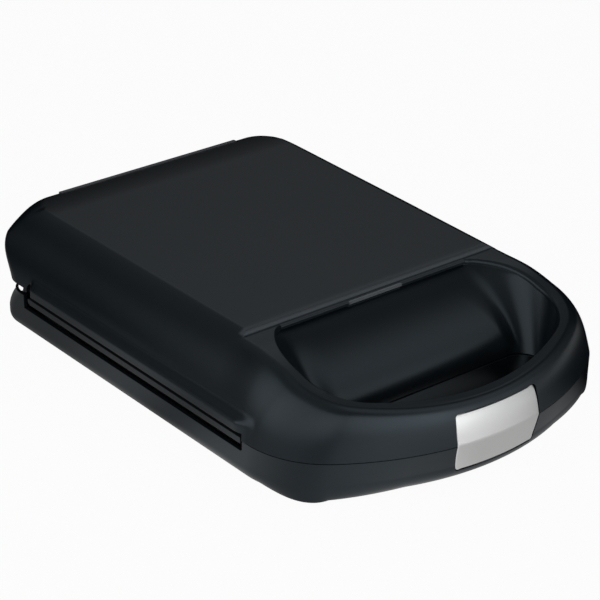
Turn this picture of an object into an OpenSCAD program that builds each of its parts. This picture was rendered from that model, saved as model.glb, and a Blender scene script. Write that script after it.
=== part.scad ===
// Sandwich toaster with a hinged lid, a looped carrying handle and a front latch.
// Millimetres, +Z up, front towards -Y, origin on the table under the middle of the body.

/* [Overall] */
// Length from the front of the handle to the rear
body_l = 359; // [343:1:379]
// Width of the body at the seam between lid and base
body_w = 254; // [244:1:266]
// Height of the flat deck above the table
deck_h = 78.4; // [76:0.2:84]
// Height of the seam that runs round the handle
seam_h = 30; // [29:0.5:32]
// Height of the rubber feet under the base
foot_h = 3; // [2:0.5:4]
// Wall thickness of the moulded housings
wall = 2.5; // [2:0.1:3]

/* [Lid form] */
// How far each side leans in between seam and deck
side_lean = 30.5; // [28:0.5:33]
// How far the front of the handle leans in between seam and rim
front_lean = 10; // [7:0.5:12]
// Share of the lean that is straight, the rest is bulged
lean_straight = 0.54; // [0.4:0.02:0.7]
// Share of that lean that is straight at the rear of the sides
rear_straight = 0.36; // [0.3:0.02:0.5]
// How much less the sides lean beside the finger gap
rim_swell = 5.8; // [4:0.2:7]
// Radius of the wide front arc at the seam
front_r = 178; // [170:1:190]
// Radius of the front corners at the seam
corner_r = 59; // [52:1:64]
// Height of the handle rim at its front
rim_front_h = 54.2; // [52:0.2:58]
// Rise of the handle rim per millimetre towards the deck
rim_slope = 0.263; // [0.22:0.001:0.28]
// Distance from the front of the handle to the front lip of the deck
lip_from_front = 120.3; // [116:0.1:126]
// Height of the step at the front lip
lip_h = 3; // [2:0.1:4]
// Length over which the front lip is rounded
lip_len = 6.5; // [4:0.1:9]
// Width of the hanging edge in the middle of the front lip
lip_tab_w = 147; // [130:1:156]
// Length of the rear part of the deck that falls away
roll_len = 27; // [20:1:32]
// Drop of the deck at its rear end
roll_drop = 0.6; // [0.3:0.1:1.5]
// Width of the rail across the rear edge of the lid
rail_w = 146; // [130:1:156]
// Rise of the rear rail above the deck
rail_rise = 0.5; // [0.2:0.1:1.5]

/* [Sides] */
// Height of the lower edge of the lid's side skirt
skirt_h = 34.8; // [34.4:0.1:36]
// How far the skirt flares out beyond the seam width
skirt_flare = 1.3; // [0.6:0.1:2]
// Height of the upper edge of the lid frame's side band
band_top = 34.1; // [33:0.1:34.2]
// Height of the lower edge of the lid frame's side band
band_bottom = 28.5; // [28:0.1:29.4]
// Height of the upper edge of the base's side walls
side_top = 24.5; // [23:0.1:25]
// Distance from the front of the handle to the front ends of the side grooves
shoulder_from_front = 86; // [82:1:90]

/* [Finger gap] */
// Width of the bead round the finger gap
rim_bead = 6.4; // [5.5:0.1:8]
// Half width of the finger gap at the seam
gap_half_w = 80; // [72:1:86]
// Length of the finger gap at the seam
gap_l = 48; // [40:1:52]
// Thickness of the handle bar at the seam
handle_t = 20; // [18:1:24]

/* [Latch] */
// Width of the latch plate at its middle
latch_w = 65; // [56:1:70]
// Height of the lower edge of the latch plate
latch_bottom = 11.5; // [10:0.5:14]
// Height of the upper edge of the latch plate
latch_top = 48.6; // [46:0.2:49]
// Thickness of the latch plate
latch_t = 2; // [1.6:0.1:2.6]
// Diameter of the latch pin
latch_pin_d = 3; // [2.5:0.1:3.4]

/* [Hinge] */
// Height of the hinge axis
hinge_h = 33; // [32:0.5:34]
// Distance of the hinge axis from the rear of the body
hinge_from_rear = 13; // [12.5:0.5:14]
// Diameter of the hinge pins
hinge_pin_d = 4.4; // [3.6:0.1:5]
// Distance between the middles of the two hinges
hinge_gap = 150; // [130:1:160]

/* [Baking plates] */
// Width left on each side between a baking plate and the widest line of the body
plate_side_in = 15.5; // [15:0.5:20]
// Length of the frame in front of a baking plate
plate_front_in = 6; // [5:0.5:9]
// Length of the frame behind a baking plate
plate_rear_in = 12; // [10:0.5:16]
// Depth of each sandwich cell in one plate
cell_depth = 10; // [8:0.5:10.5]
// Width of the sealing rims between the cells
cell_rim = 7; // [5:0.5:9]
// Thickness of the cast plates
plate_t = 2.5; // [2:0.1:3]
// Diameter of the heating elements
element_d = 6; // [5:0.1:6.4]

/* [Fits] */
// Clearance round a pin that turns
running_fit = 0.05; // [0.02:0.01:0.1]
// Clearance round a pin that stays fixed
fixed_fit = 0.02; // [0.01:0.01:0.05]
// Gap between two mouldings that close on each other
close_gap = 0.5; // [0.3:0.1:0.8]

/* [Hidden] */
$fn = 48;

// Reference planes
front_y = -body_l / 2;
rear_y = body_l / 2;
half_w = body_w / 2;
lip_y = front_y + lip_from_front;
shoulder_y = front_y + shoulder_from_front;
roll_y = rear_y - roll_len;
axis_y = rear_y - hinge_from_rear;
step_z = deck_h - lip_h;
handle_z = rim_front_h;
lid_bottom = seam_h + close_gap / 2;
base_top = seam_h - close_gap / 2;

// Shape of the plan outline: counts of points and how its arcs shrink towards the deck
n_front = 7;
n_corner = 8;
n_rear = 4;
front_r_shrink = 17;
corner_r_shrink = 16.4;
side_bead = rim_bead + 3;
rear_corner_low = 19;
rear_corner_mid = 6.5;
rear_corner_top = 18;
rear_corner_z = [38, 62];
rear_tuck = 14;
rear_tuck_h = 25;
base_rear_y = axis_y + 3;
base_rear_tuck = 5;
base_rear_z = [17, 30];
base_rear_r = 13;

// Rounding where the sides turn into the top
rim_round = 3.2;
crease_round = 1.6;
rail_t = 3.6;
rail_deep = 2.2;
rail_gap = 0.8;
rear_round = 16;
rear_round_l = 24;

// Lowest edges of the lid at the side skirts and at the rear
rear_edge_z = hinge_h + 3;
skirt_end_y = rear_y - 48;
notch_r = 4.3;

// Frames that carry the plates
frame_t = 2.5;
frame_rear_y = rear_y - 23;
plate_w = body_w - 2 * plate_side_in;
plate_l = frame_rear_y - shoulder_y - plate_front_in - plate_rear_in;
plate_y = shoulder_y + plate_front_in + plate_l / 2;
plate_gap = 0.6;
mid_z = (band_bottom + side_top) / 2;
rim_up = band_bottom - mid_z - plate_gap / 2;
flange_out = 4;
flange_t = 2;
cell_w = (plate_w - 3 * cell_rim) / 2;
cell_l = (plate_l - 3 * cell_rim) / 2;
cell_slope = 4.5;
cell_corner_r = 6;
ridge_h = 4.5;
ridge_half_w = 5;
bulge = 1.6;
sheet_t = 0.8;
flange_top = frame_t + rim_up + 0.05 + flange_t;
bulge_top = cell_depth + plate_t;
tray_top = bulge_top + element_d + 1.1;

// Hinges
knuckle_r = 5;
cheek_r = 5.5;
cheek_t = 4;
arm_t = 9.2;
side_gap = 0.4;
hinge_sides = [-1, 1];

// Latch
latch_axis_y = front_y + 11.5;
latch_axis_z = latch_top - 3.4;
latch_side_r = 101;
latch_corner_r = 2.2;
latch_gap = 0.4;
lug_r = 3.2;
lug_x = [14, 18];
cheek_x = [9.5, 13.5];
latch_clear = 0.2;
swing_x = [0, 12, 23, latch_w / 2];
pin_half_l = 18.3;
spring_wire = 0.9;
spring_r = 2.3;

// Screws
screw_r = 1.5;
screw_hole_r = 1.6;
screw_head_r = 2.8;
boss_r = 3.6;
boss_foot_z = skirt_h + 0.3;
lid_screw_spots = [[half_w - 7.5, shoulder_y + 52], [half_w - 7.5, rear_y - 73],
                   [half_w - 29, front_y + 50]];
base_screw_spots = [[half_w - 26, shoulder_y - 8], [half_w - 39, frame_rear_y - 3.8]];
screw_head_h = 1.5;
screw_sink = 1.6;
foot_spots = [[half_w - 36, front_y + 66], [half_w - 32, rear_y - 40]];
foot_r = 8;
foot_stem_r = 3.5;

satin_black = [0.17, 0.18, 0.19];
dark_grey = [0.25, 0.26, 0.27];
silver = [0.78, 0.78, 0.78];
steel = [0.62, 0.63, 0.65];
cast_grey = [0.22, 0.22, 0.23];

function clamp01(t) = min(max(t, 0), 1);
function mix(a, b, t) = a + (b - a) * t;
function soft_min(a, b, k) =
    let (h = clamp01(0.5 + (b - a) / (2 * k)))
    mix(b, a, h) - k * h * (1 - h);

// Height of the lid's top along its length: handle rim, shoulder, lip, deck and rear fall
function rim_z(y) = soft_min(step_z, handle_z + rim_slope * (y - front_y - front_lean), 4);
function top_z(y) =
    y < lip_y ? rim_z(y)
    : y < lip_y + lip_len ? step_z + lip_h * sqrt(1 - pow((lip_y + lip_len - y) / lip_len, 2))
    : y < roll_y ? deck_h
    : deck_h - roll_drop * pow((y - roll_y) / roll_len, 1.5);

// Lean of the lid's side between the seam (0) and the top (1)
function lean(h, a) = a * h + (1 - a) * pow(h, 4);
function smooth(t) = let (c = clamp01(t)) c * c * (3 - 2 * c);
function lid_rear(z) = rear_y - rear_tuck * pow(1 - clamp01((z - seam_h) / rear_tuck_h), 2);
function lid_rear_r(z) = z < rear_corner_z[1]
    ? mix(rear_corner_low, rear_corner_mid,
          smooth((z - rear_corner_z[0]) / (rear_corner_z[1] - rear_corner_z[0])))
    : mix(rear_corner_mid, rear_corner_top, (z - rear_corner_z[1]) / (deck_h - rear_corner_z[1]));

// Places along the straight side where the top surface or the skirt changes
side_ys = concat([for (d = [30, 19, 9, 2]) lip_y - d],
                 [for (a = [0, 20, 40, 60, 78, 90]) lip_y + lip_len * (1 - cos(a))],
                 [lip_y + 60, lip_y + 130, skirt_end_y, skirt_end_y + 5, roll_y, roll_y + 5]);
n_side = len(side_ys);
n_half = n_front + n_corner + 1 + n_side + n_rear + 1;

// Point j of the right half of the plan outline, from the middle of the front to the rear
function plan_point(j, hw, front, big_r, small_r, rear, rear_r) =
    let (cf = front + big_r,
         cx = hw - small_r,
         cy = cf - sqrt(pow(big_r - small_r, 2) - cx * cx),
         a1 = atan2(cy - cf, cx),
         k = j - n_front - n_corner - 1)
    j < n_front ? let (a = mix(-90, a1, (j + 0.5) / n_front)) [big_r * cos(a), cf + big_r * sin(a)]
    : j <= n_front + n_corner ? let (a = mix(a1, 0, (j - n_front) / n_corner))
        [cx + small_r * cos(a), cy + small_r * sin(a)]
    : k < n_side ? [hw, min(side_ys[k], rear - rear_r - 0.3 * (n_side - k))]
    : let (a = 90 * (k - n_side) / n_rear)
        [hw - rear_r + rear_r * cos(a), rear - rear_r + rear_r * sin(a)];

// Outward flare of the side skirt above the baking plates
flare_h = 9;
flare_reach = skirt_flare + side_lean * lean((skirt_h - seam_h) / (deck_h - seam_h), 0.5);
function flare(j, z) = let (k = j - n_front - n_corner - 1)
    k < 0 || k > n_side - 4 ? 0 : flare_reach * pow(clamp01((skirt_h + flare_h - z) / flare_h), 2);

// Place of point j along the side: 0 beside the finger gap, 1 at the rear
function side_y(j) = side_ys[min(max(j - n_front - n_corner - 1, 0), n_side - 1)];
function straight(j) = mix(lean_straight, rear_straight, clamp01((side_y(j) - shoulder_y) / 120));
function swell(j) = rim_swell * clamp01((lip_y - side_y(j)) / 28);
// Lid outline for a lean f at height z, moved inwards by o
function lid_point(j, f, z, o) =
    plan_point(j, half_w - (side_lean - swell(j)) * f - o, front_y + front_lean * f + o,
               front_r - front_r_shrink * f - o, corner_r - corner_r_shrink * f - o,
               lid_rear(z) - o, max(lid_rear_r(z) - o, 0.6));
crest = [for (j = [0 : n_half - 1]) let (p = lid_point(j, 1, deck_h, 0)) [p.x, p.y, top_z(p.y)]];
n_to_rear = n_half - n_rear - 1;
crest_round = [for (j = [0 : n_half - 1]) let (y = crest[j].y)
    j >= n_to_rear ? mix(rear_round, 4, pow((j - n_to_rear) / n_rear, 3))
    : y < lip_y ? mix(rim_round, crease_round, clamp01((y - lip_y + 16) / 16))
    : mix(crease_round, rear_round, pow(clamp01((y - roll_y) / rear_round_l + 0.5), 2))];

// Depth below the crest at which a rounding of size r starts
function crest_start(r) = 1.6 + 0.5 * r + 0.0125 * r * r;
// Half ring of the lid at a share h of the height below the crest's rounding
function lid_side_ring(h, o, bottom) =
    [for (j = [0 : n_half - 1])
        let (zt = crest[j].z,
             z = mix(bottom, zt - crest_start(crest_round[j]) - o, h),
             f = lean(clamp01((z + o - seam_h) / (zt - seam_h)), straight(j)),
             p = lid_point(j, f, z, o))
        [p.x + flare(j, z), p.y, z]];
// Half ring in the rounding, t from 0 on the side to 1 on the top
function lid_top_ring(t, o, start) =
    [for (j = [0 : n_half - 1])
        let (b = lid_point(j, 1, deck_h, o),
             c = lid_point(j, 1, deck_h, o + crest_round[j]),
             zb = crest[j].z - o,
             zc = top_z(c.y) - o,
             u = 1 - t)
        [u * u * start[j].x + 2 * u * t * b.x + t * t * c.x,
         u * u * start[j].y + 2 * u * t * b.y + t * t * c.y,
         u * u * start[j].z + 2 * u * t * zb + t * t * zc]];

// Closed skin through half rings that are mirrored in X, capped below and above
module loft(halves) {
    n = len(halves[0]);
    m = len(halves);
    points = [for (h = halves) each concat(h, [for (i = [n - 1 : -1 : 0]) [-h[i].x, h[i].y, h[i].z]])];
    r = 2 * n;
    sides = [for (k = [0 : m - 2], i = [0 : r - 1])
        let (a = k * r + i, b = k * r + (i + 1) % r, c = b + r, d = a + r)
        each [[a, d, c], [a, c, b]]];
    t = (m - 1) * r;
    floor_cap = [for (i = [0 : n - 2])
        let (a = i, b = i + 1, c = r - 2 - i, d = r - 1 - i) each [[a, b, c], [a, c, d]]];
    top_cap = [for (i = [0 : n - 2])
        let (a = t + i, b = t + i + 1, c = t + r - 2 - i, d = t + r - 1 - i) each [[a, c, b], [a, d, c]]];
    polyhedron(points, concat(sides, floor_cap, top_cap), convexity = 8);
}

// Solid form of the lid, o is how far it is drawn in from the outside
module lid_form(o, bottom, levels, roundings) {
    rings = [for (h = levels) lid_side_ring(h, o, bottom)];
    last = rings[len(rings) - 1];
    loft(concat(rings, [for (t = roundings) lid_top_ring(t, o, last)]));
}
fine_levels = [0, 0.1, 0.145, 0.2, 0.29, 0.45, 0.62, 0.8, 1];
fine_roundings = [0.3, 0.6, 1];
coarse_levels = [0, 0.14, 0.24, 0.34, 0.55, 0.78, 1];
coarse_roundings = [0.5, 1];
module lid_outside() lid_form(0, lid_bottom, fine_levels, fine_roundings);
module lid_inside() lid_form(wall, lid_bottom - 4, coarse_levels, coarse_roundings);

// Finger gap: a mouth that follows the rim, a back that rolls down like a wave, a narrower foot
gap_top = [half_w - side_lean + rim_swell - side_bead, front_y + front_lean + rim_bead,
           front_r - front_r_shrink - rim_bead, corner_r - corner_r_shrink - rim_bead,
           lip_y - 0.8, 30];
gap_foot = [gap_half_w, front_y + handle_t, front_r - handle_t, 20, front_y + handle_t + gap_l, 13];
gap_back_z = step_z - 4.2;
n_gap_side = 3;
n_gap_back = 6;
n_gap = n_front + n_corner + 1 + n_gap_side + n_gap_back + 1;

// Point j of the finger gap's half outline, g holds its sizes, o moves it outwards
function gap_point(j, g, o) =
    let (big_r = g[2] + o,
         small_r = g[3] + o,
         cf = g[1] + g[2],
         cx = g[0] - g[3],
         cy = cf - sqrt(pow(g[2] - g[3], 2) - cx * cx),
         back_r = min(g[5], 0.9 * (g[4] - cy)),
         back_y = g[4] - back_r,
         a1 = atan2(cy - cf, cx),
         k = j - n_front - n_corner - 1)
    j < n_front ? let (a = mix(-90, a1, (j + 0.5) / n_front)) [big_r * cos(a), cf + big_r * sin(a)]
    : j <= n_front + n_corner ? let (a = mix(a1, 0, (j - n_front) / n_corner))
        [cx + small_r * cos(a), cy + small_r * sin(a)]
    : k < n_gap_side ? [g[0] + o, mix(cy, back_y, (k + 1) / (n_gap_side + 1))]
    : let (a = 90 * (k - n_gap_side) / n_gap_back)
        [g[0] - back_r + (back_r + o) * cos(a), back_y + (back_r + o) * sin(a)];
// Share of a point that belongs to the back wall
function gap_back(j) = clamp01((j - n_front - n_corner - 1 - n_gap_side) / n_gap_back);
function gap_rim_z(j) = rim_z(gap_point(j, gap_top, 0).y);
// Ring in the rounded bead: e outwards and d down from the rim
function gap_bead_ring(e, d, o) =
    [for (j = [0 : n_gap - 1])
        let (w = 1 - 0.9 * gap_back(j), p = gap_point(j, gap_top, o + e * w)) [p.x, p.y, gap_rim_z(j) - d]];
// Ring of the walls: a runs from 0 at the mouth to 90 at the foot
function gap_wall_ring(a, o) =
    [for (j = [0 : n_gap - 1])
        let (b = gap_back(j),
             down = 1 - cos(a),
             g = mix(down, sin(a), b),
             top = gap_point(j, gap_top, o),
             foot = gap_point(j, gap_foot, o),
             z0 = mix(gap_rim_z(j) - rim_round, gap_back_z, b) - o * b * cos(a))
        [mix(top.x, foot.x, g), mix(top.y, foot.y, g), mix(z0, seam_h, down)]];
function gap_foot_ring(z, o) =
    [for (j = [0 : n_gap - 1]) let (p = gap_point(j, gap_foot, o)) [p.x, p.y, z]];
module gap_form(o) {
    loft(concat([gap_foot_ring(lid_bottom - 2, o)],
                [for (a = [90, 75, 60, 45, 30, 15, 0]) gap_wall_ring(a, o)],
                [gap_bead_ring(0.5, 1.4, o), gap_bead_ring(1.5, 0.45, o),
                 gap_bead_ring(3.2, -0.1, o), gap_bead_ring(3.3, -3, o)]));
}

// Front profile of the body in front view, as the distance from its outermost line
base_front_slope = 0.233;
base_side_r = 10;
base_front_radius = 12;
base_side_edge = foot_h + base_side_r;
base_front_edge = foot_h + base_front_radius;
function base_side_in(z) = z >= base_side_edge ? 0 : base_side_r - sqrt(base_side_r * base_side_r
    - pow(base_side_edge - z, 2));
function base_front_in(z) = z >= base_front_edge ? base_front_slope * (seam_h - min(z, seam_h))
    : base_front_slope * (seam_h - base_front_edge) + base_front_radius
      - sqrt(base_front_radius * base_front_radius - pow(base_front_edge - z, 2));
function front_in(z) = z < seam_h ? base_front_in(z)
    : front_lean * lean((z - seam_h) / (rim_front_h - seam_h), lean_straight);

// Direction in which point j of the outline faces: 0 to the front, 90 to the side
function facing(j) = j < n_front ? 33 * (j + 0.5) / n_front
    : mix(33, 90, clamp01((j - n_front) / n_corner));
// The underside is fuller at the front corners, over the front feet
function fuller(j) = 1 - 0.9 * max(0, cos(min(3 * abs(facing(j) - 48), 90)));
function base_rear(z) = base_rear_y
    - base_rear_tuck * pow(clamp01((z - base_rear_z[0]) / (base_rear_z[1] - base_rear_z[0])), 2);
// Base outline at height z, moved inwards by o
function base_point(j, z, o) =
    let (w = fuller(j), s = w * base_side_in(z), f = w * base_front_in(z), rear_in = 0.7 * base_side_in(z),
         rear_r = base_rear_r + base_rear_tuck * clamp01((z - base_rear_z[0]) / 13))
    plan_point(j, half_w - s - o, front_y + f + o, front_r - f - o, corner_r - (s + f) / 2 - o,
               base_rear(z) - rear_in - o, rear_r - rear_in - o);
function base_ring(z, o) = [for (j = [0 : n_half - 1]) let (p = base_point(j, z, o)) [p.x, p.y, z]];
module base_form(o, heights) loft([for (z = heights) base_ring(z, o)]);

module both_sides() {
    children();
    mirror([1, 0, 0]) children();
}
// Shape drawn in side view (y, z) and run across the width from x0 to x1
module across(x0, x1) translate([x0, 0, 0]) rotate([90, 0, 90]) linear_extrude(x1 - x0) children();
// Shape drawn in front view (x, z) and run along the length from y0 to y1
module along(y0, y1) translate([0, y1, 0]) rotate([90, 0, 0]) linear_extrude(y1 - y0) children();
module block(x0, x1, y0, y1, z0, z1) translate([x0, y0, z0]) cube([x1 - x0, y1 - y0, z1 - z0]);
module rounded(x0, x1, y0, y1, r) {
    translate([x0 + r, y0]) square([x1 - x0 - 2 * r, y1 - y0]);
    translate([x0, y0 + r]) square([x1 - x0, y1 - y0 - 2 * r]);
    for (x = [x0 + r, x1 - r], y = [y0 + r, y1 - r]) translate([x, y]) circle(r);
}

// ---- Lid ----

// Side view of what is cut from the lower edge of the lid's side walls
module lid_side_cut() {
    translate([shoulder_y, 0]) square([skirt_end_y + 9 - shoulder_y, skirt_h]);
    translate([skirt_end_y, 0]) square([13, skirt_h - 0.5]);
    translate([skirt_end_y + 12.5, 0]) square([40, rear_edge_z + 0.3]);
    translate([skirt_end_y + 4.5, skirt_h + 2.2]) circle(notch_r);
}
// Front view of the latch plate: bowed sides and small corner arcs, o moves it outwards
latch_mid_z = (latch_top + latch_bottom) / 2 + 2;
latch_side_x = latch_w / 2 - latch_side_r;
function latch_corner(z, r) = latch_side_x + sqrt(pow(latch_side_r - r, 2) - pow(z - latch_mid_z, 2));
function latch_edge(o) =
    let (zt = latch_top - latch_corner_r,
         zb = latch_bottom + latch_corner_r,
         xt = latch_corner(zt, latch_corner_r),
         xb = latch_corner(zb, latch_corner_r),
         at = asin((zt - latch_mid_z) / (latch_side_r - latch_corner_r)),
         ab = asin((zb - latch_mid_z) / (latch_side_r - latch_corner_r)))
    concat([for (i = [0 : 5]) let (a = mix(-90, ab, i / 5))
                [xb + (latch_corner_r + o) * cos(a), zb + (latch_corner_r + o) * sin(a)]],
           [for (i = [1 : 7]) let (a = mix(ab, at, i / 8))
                [latch_side_x + (latch_side_r + o) * cos(a), latch_mid_z + (latch_side_r + o) * sin(a)]],
           [for (i = [0 : 5]) let (a = mix(at, 90, i / 5))
                [xt + (latch_corner_r + o) * cos(a), zt + (latch_corner_r + o) * sin(a)]]);
module latch_outline(o) let (e = latch_edge(o), n = len(e))
    polygon(concat(e, [for (i = [n - 1 : -1 : 0]) [-e[i].x, e[i].y]]));
module latch_opening(y1) along(front_y - 2, y1) latch_outline(latch_gap);
// Room over the latch for its top edge, which swings inwards; narrower where the front curves back
function latch_reach(x) =
    norm([latch_axis_y - front_y - front_r + sqrt(pow(front_r - front_in(latch_top), 2) - x * x),
          latch_top - latch_axis_z]) + latch_clear;
module latch_swing() intersection() {
    both_sides() for (i = [0 : len(swing_x) - 2]) let (x0 = swing_x[i], x1 = swing_x[i + 1])
        translate([x0, latch_axis_y, latch_axis_z]) rotate([0, 90, 0])
            cylinder(x1 - x0, latch_reach(x0), latch_reach(x1));
    block(-latch_w, latch_w, latch_axis_y - 10, latch_axis_y + 1.5, 0, 80);
}
lip_tab_t = 3.4;
window_w = 42;
window_t = 1.6;
tab_front_y = lip_y - lip_tab_t;
// Screw boss from height z upwards, with a web to the side wall
module webbed_boss(s, z) translate([s.x, s.y, z]) hull() {
    cylinder(60, boss_r, boss_r);
    translate([0, -1, 0]) cube([boss_r + 8, 2, 60]);
}
module lid_shell() color(satin_black) {
    difference() {
        union() {
            difference() {
                lid_outside();
                difference() {
                    lid_inside();
                    gap_form(wall);
                    both_sides() for (s = lid_screw_spots)
                        webbed_boss(s, s.y < shoulder_y ? bracket_z + 0.02 : boss_foot_z);
                }
                gap_form(0);
            }
            // hanging lip over the finger gap
            across(-lip_tab_w / 2, lip_tab_w / 2) hull() {
                translate([tab_front_y, step_z - 2.2]) square([lip_tab_t + 2.6, 1.5]);
                translate([tab_front_y + 3, step_z - 2.2]) square([lip_tab_t - 0.4, 2.4]);
                translate([tab_front_y + 0.9, step_z - 0.7]) circle(0.9);
            }
        }
        both_sides() across(half_w - 12, half_w + 6) lid_side_cut();
        block(-half_w, half_w, axis_y - 8, rear_y + 1, 0, rear_edge_z);
        latch_opening(latch_axis_y + 1.5);
        latch_swing();
        // recess of the indicator window
        block(-window_w / 2 - 0.1, window_w / 2 + 0.1, tab_front_y - 1, tab_front_y + window_t + 0.1,
              step_z - 4, step_z + 2);
        // room for the hinge knuckles
        for (s = hinge_sides) across(s * hinge_gap / 2 - arm_t / 2 - side_gap - cheek_t - 0.5,
                                     s * hinge_gap / 2 + arm_t / 2 + side_gap + cheek_t + 0.5)
            hull() for (z = [hinge_h, hinge_h - 6]) translate([axis_y, z]) circle(cheek_r + 0.6);
        both_sides() for (s = lid_screw_spots)
            translate([s.x, s.y, 0]) cylinder(46, screw_r - 0.2, screw_r - 0.2);
        // slot that takes the rear rail
        block(-rail_w / 2 - 0.3, rail_w / 2 + 0.3, rear_y - rail_t - rail_gap, rear_y + 1,
              deck_h - rail_deep, deck_h + 3);
    }
}

module rear_rail() color(satin_black) {
    across(-rail_w / 2, rail_w / 2) difference() {
        translate([rear_y - rail_t, deck_h - rail_deep + 0.1]) square([rail_t, rail_deep + rail_rise]);
        translate([rear_y - rail_t, deck_h + rail_rise]) circle(0.5);
    }
}

module indicator_window() color([0.85, 0.84, 0.8])
    block(-window_w / 2, window_w / 2, tab_front_y + 0.1, tab_front_y + window_t, step_z - 1.9, step_z);

module indicator_lamps() both_sides() {
    color([0.8, 0.2, 0.15]) translate([10, lip_y + 12, deck_h - wall - 9]) cylinder(6, 2.5, 2.5);
    color(dark_grey) translate([10, lip_y + 12, deck_h - wall - 4]) cylinder(3.95, 3.2, 3.2);
}

// Inner line of the shell in plan at height z of the lid, kept o clear of the wall
module lid_plan(z, o) polygon([for (s = [0, 1], i = [0 : n_half - 1])
    let (j = s == 0 ? i : n_half - 1 - i,
         f = lean(clamp01((z + wall - seam_h) / (crest[j].z - seam_h)), straight(j)),
         p = lid_point(j, f, z, wall + o)) [s == 0 ? p.x : -p.x, p.y]]);
module gap_plan(o) polygon([for (s = [0, 1], i = [0 : n_gap - 1])
    let (j = s == 0 ? i : n_gap - 1 - i, p = gap_point(j, gap_foot, o)) [s == 0 ? p.x : -p.x, p.y]]);
module plate_opening() translate([0, plate_y])
    rounded(-plate_w / 2 - 0.5, plate_w / 2 + 0.5, -plate_l / 2 - 0.5, plate_l / 2 + 0.5, 8);

// Hole of a screw from below, with its sunk head
module screw_way(s, z0) translate([s.x, s.y, 0]) {
    cylinder(50, screw_hole_r, screw_hole_r);
    cylinder(z0 + screw_sink, screw_head_r + 0.2, screw_head_r + 0.2);
}
band_in = half_w - 6;
band_out = half_w + 1;
band_end_y = skirt_end_y + 4;
band_r = (band_top - band_bottom) / 2;
module frame_web(z0) translate([0, 0, z0]) linear_extrude(frame_t) difference() {
    translate([-half_w + 8, shoulder_y]) square([2 * half_w - 16, frame_rear_y - shoulder_y]);
    plate_opening();
    for (s = [0, 1]) mirror([s, 0]) translate([half_w - 30, frame_rear_y - 8]) square([40, 20]);
}
module handle_cover(z0, side_o, gap_o, end_y) translate([0, 0, z0]) linear_extrude(frame_t) difference() {
    intersection() {
        lid_plan(z0 + frame_t, side_o);
        translate([-half_w, front_y]) square([2 * half_w, end_y - front_y]);
    }
    gap_plan(wall + gap_o);
    translate([-latch_w / 2 - 1, front_y]) square([latch_w + 2, 9.2]);
}
module lid_frame() color(dark_grey) difference() {
    union() {
        frame_web(band_bottom);
        handle_cover(lid_bottom + 0.05, 0.35, 2.3, shoulder_y + 1.5);
        // pads under the screw bosses of the shell
        both_sides() for (s = lid_screw_spots) if (s.y > shoulder_y)
            translate([s.x, s.y, band_top - 1]) cylinder(boss_foot_z - 0.02 - band_top + 1, boss_r, boss_r);
        // bands that show under the skirts
        both_sides() across(band_in - 3, band_out) {
            translate([shoulder_y + 0.5, band_bottom])
                square([band_end_y - shoulder_y - 0.5 - band_r, 2 * band_r]);
            translate([band_end_y - band_r, band_bottom + band_r]) circle(band_r);
        }
    }
    both_sides() for (s = lid_screw_spots)
        screw_way(s, s.y < shoulder_y ? lid_bottom + 0.05 : band_bottom);
    for (s = hinge_sides) screw_way([s * hinge_gap / 2, frame_rear_y - 4], band_bottom);
}

// Rounded rectangular ring of points for the cells of a plate
function cell_ring(w, l, r, z) = [for (q = [0 : 3], i = [0 : 3])
    let (a = 90 * q + 30 * i, sx = q == 0 || q == 3 ? 1 : -1, sy = q < 2 ? 1 : -1)
    [sx * (w / 2 - r) + r * cos(a), sy * (l / 2 - r) + r * sin(a), z]];
module skin(rings) {
    n = len(rings[0]);
    m = len(rings);
    polyhedron([for (k = [0 : m - 1]) each rings[k]],
        concat([[for (i = [0 : n - 1]) i]], [[for (i = [n - 1 : -1 : 0]) (m - 1) * n + i]],
               [for (k = [0 : m - 2], i = [0 : n - 1])
                   let (a = k * n + i, b = k * n + (i + 1) % n) each [[a, a + n, b + n], [a, b + n, b]]]),
        convexity = 4);
}
cell_spots = [for (x = [-1, 1], y = [-1, 1]) [x * (cell_w + cell_rim) / 2, y * (cell_l + cell_rim) / 2]];
module cell_form(o, z0, z1) skin([
    cell_ring(cell_w + 2 * o, cell_l + 2 * o, cell_corner_r + o, z0),
    cell_ring(cell_w + 2 * o - cell_slope, cell_l + 2 * o - cell_slope, cell_corner_r + o - 1, z1 - 1.5),
    cell_ring(cell_w + 2 * o - cell_slope - 3, cell_l + 2 * o - cell_slope - 3, cell_corner_r + o - 2, z1)]);

// One baking plate, face at z = 0 and its back upwards
module plate() {
    difference() {
        union() {
            linear_extrude(rim_up + frame_t + 1)
                rounded(-plate_w / 2, plate_w / 2, -plate_l / 2, plate_l / 2, 7.5);
            translate([0, 0, rim_up + frame_t + 0.05]) linear_extrude(flange_t)
                rounded(-plate_w / 2 - flange_out, plate_w / 2 + flange_out,
                        -plate_l / 2 - flange_out, plate_l / 2 + flange_out, 9);
            for (c = cell_spots) translate([c.x, c.y, 0]) cell_form(bulge, 1, bulge_top);
        }
        for (c = cell_spots) translate([c.x, c.y, 0]) cell_form(0, -0.01, cell_depth);
    }
    // raised diagonals that part the bread
    for (c = cell_spots, s = [-1, 1]) translate([c.x, c.y, 0]) {
        a = atan2(cell_l, cell_w);
        reach = norm([cell_w, cell_l]) / 2 - 7.5;
        rotate([0, 0, s * a]) across(-reach, reach)
            polygon([[-ridge_half_w, cell_depth + 0.3], [ridge_half_w, cell_depth + 0.3],
                     [1, cell_depth - ridge_h], [-1, cell_depth - ridge_h]]);
    }
}
module as_upper() translate([0, plate_y, mid_z + plate_gap / 2]) children();
module as_lower() translate([0, plate_y, mid_z - plate_gap / 2]) mirror([0, 0, 1]) children();

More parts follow.
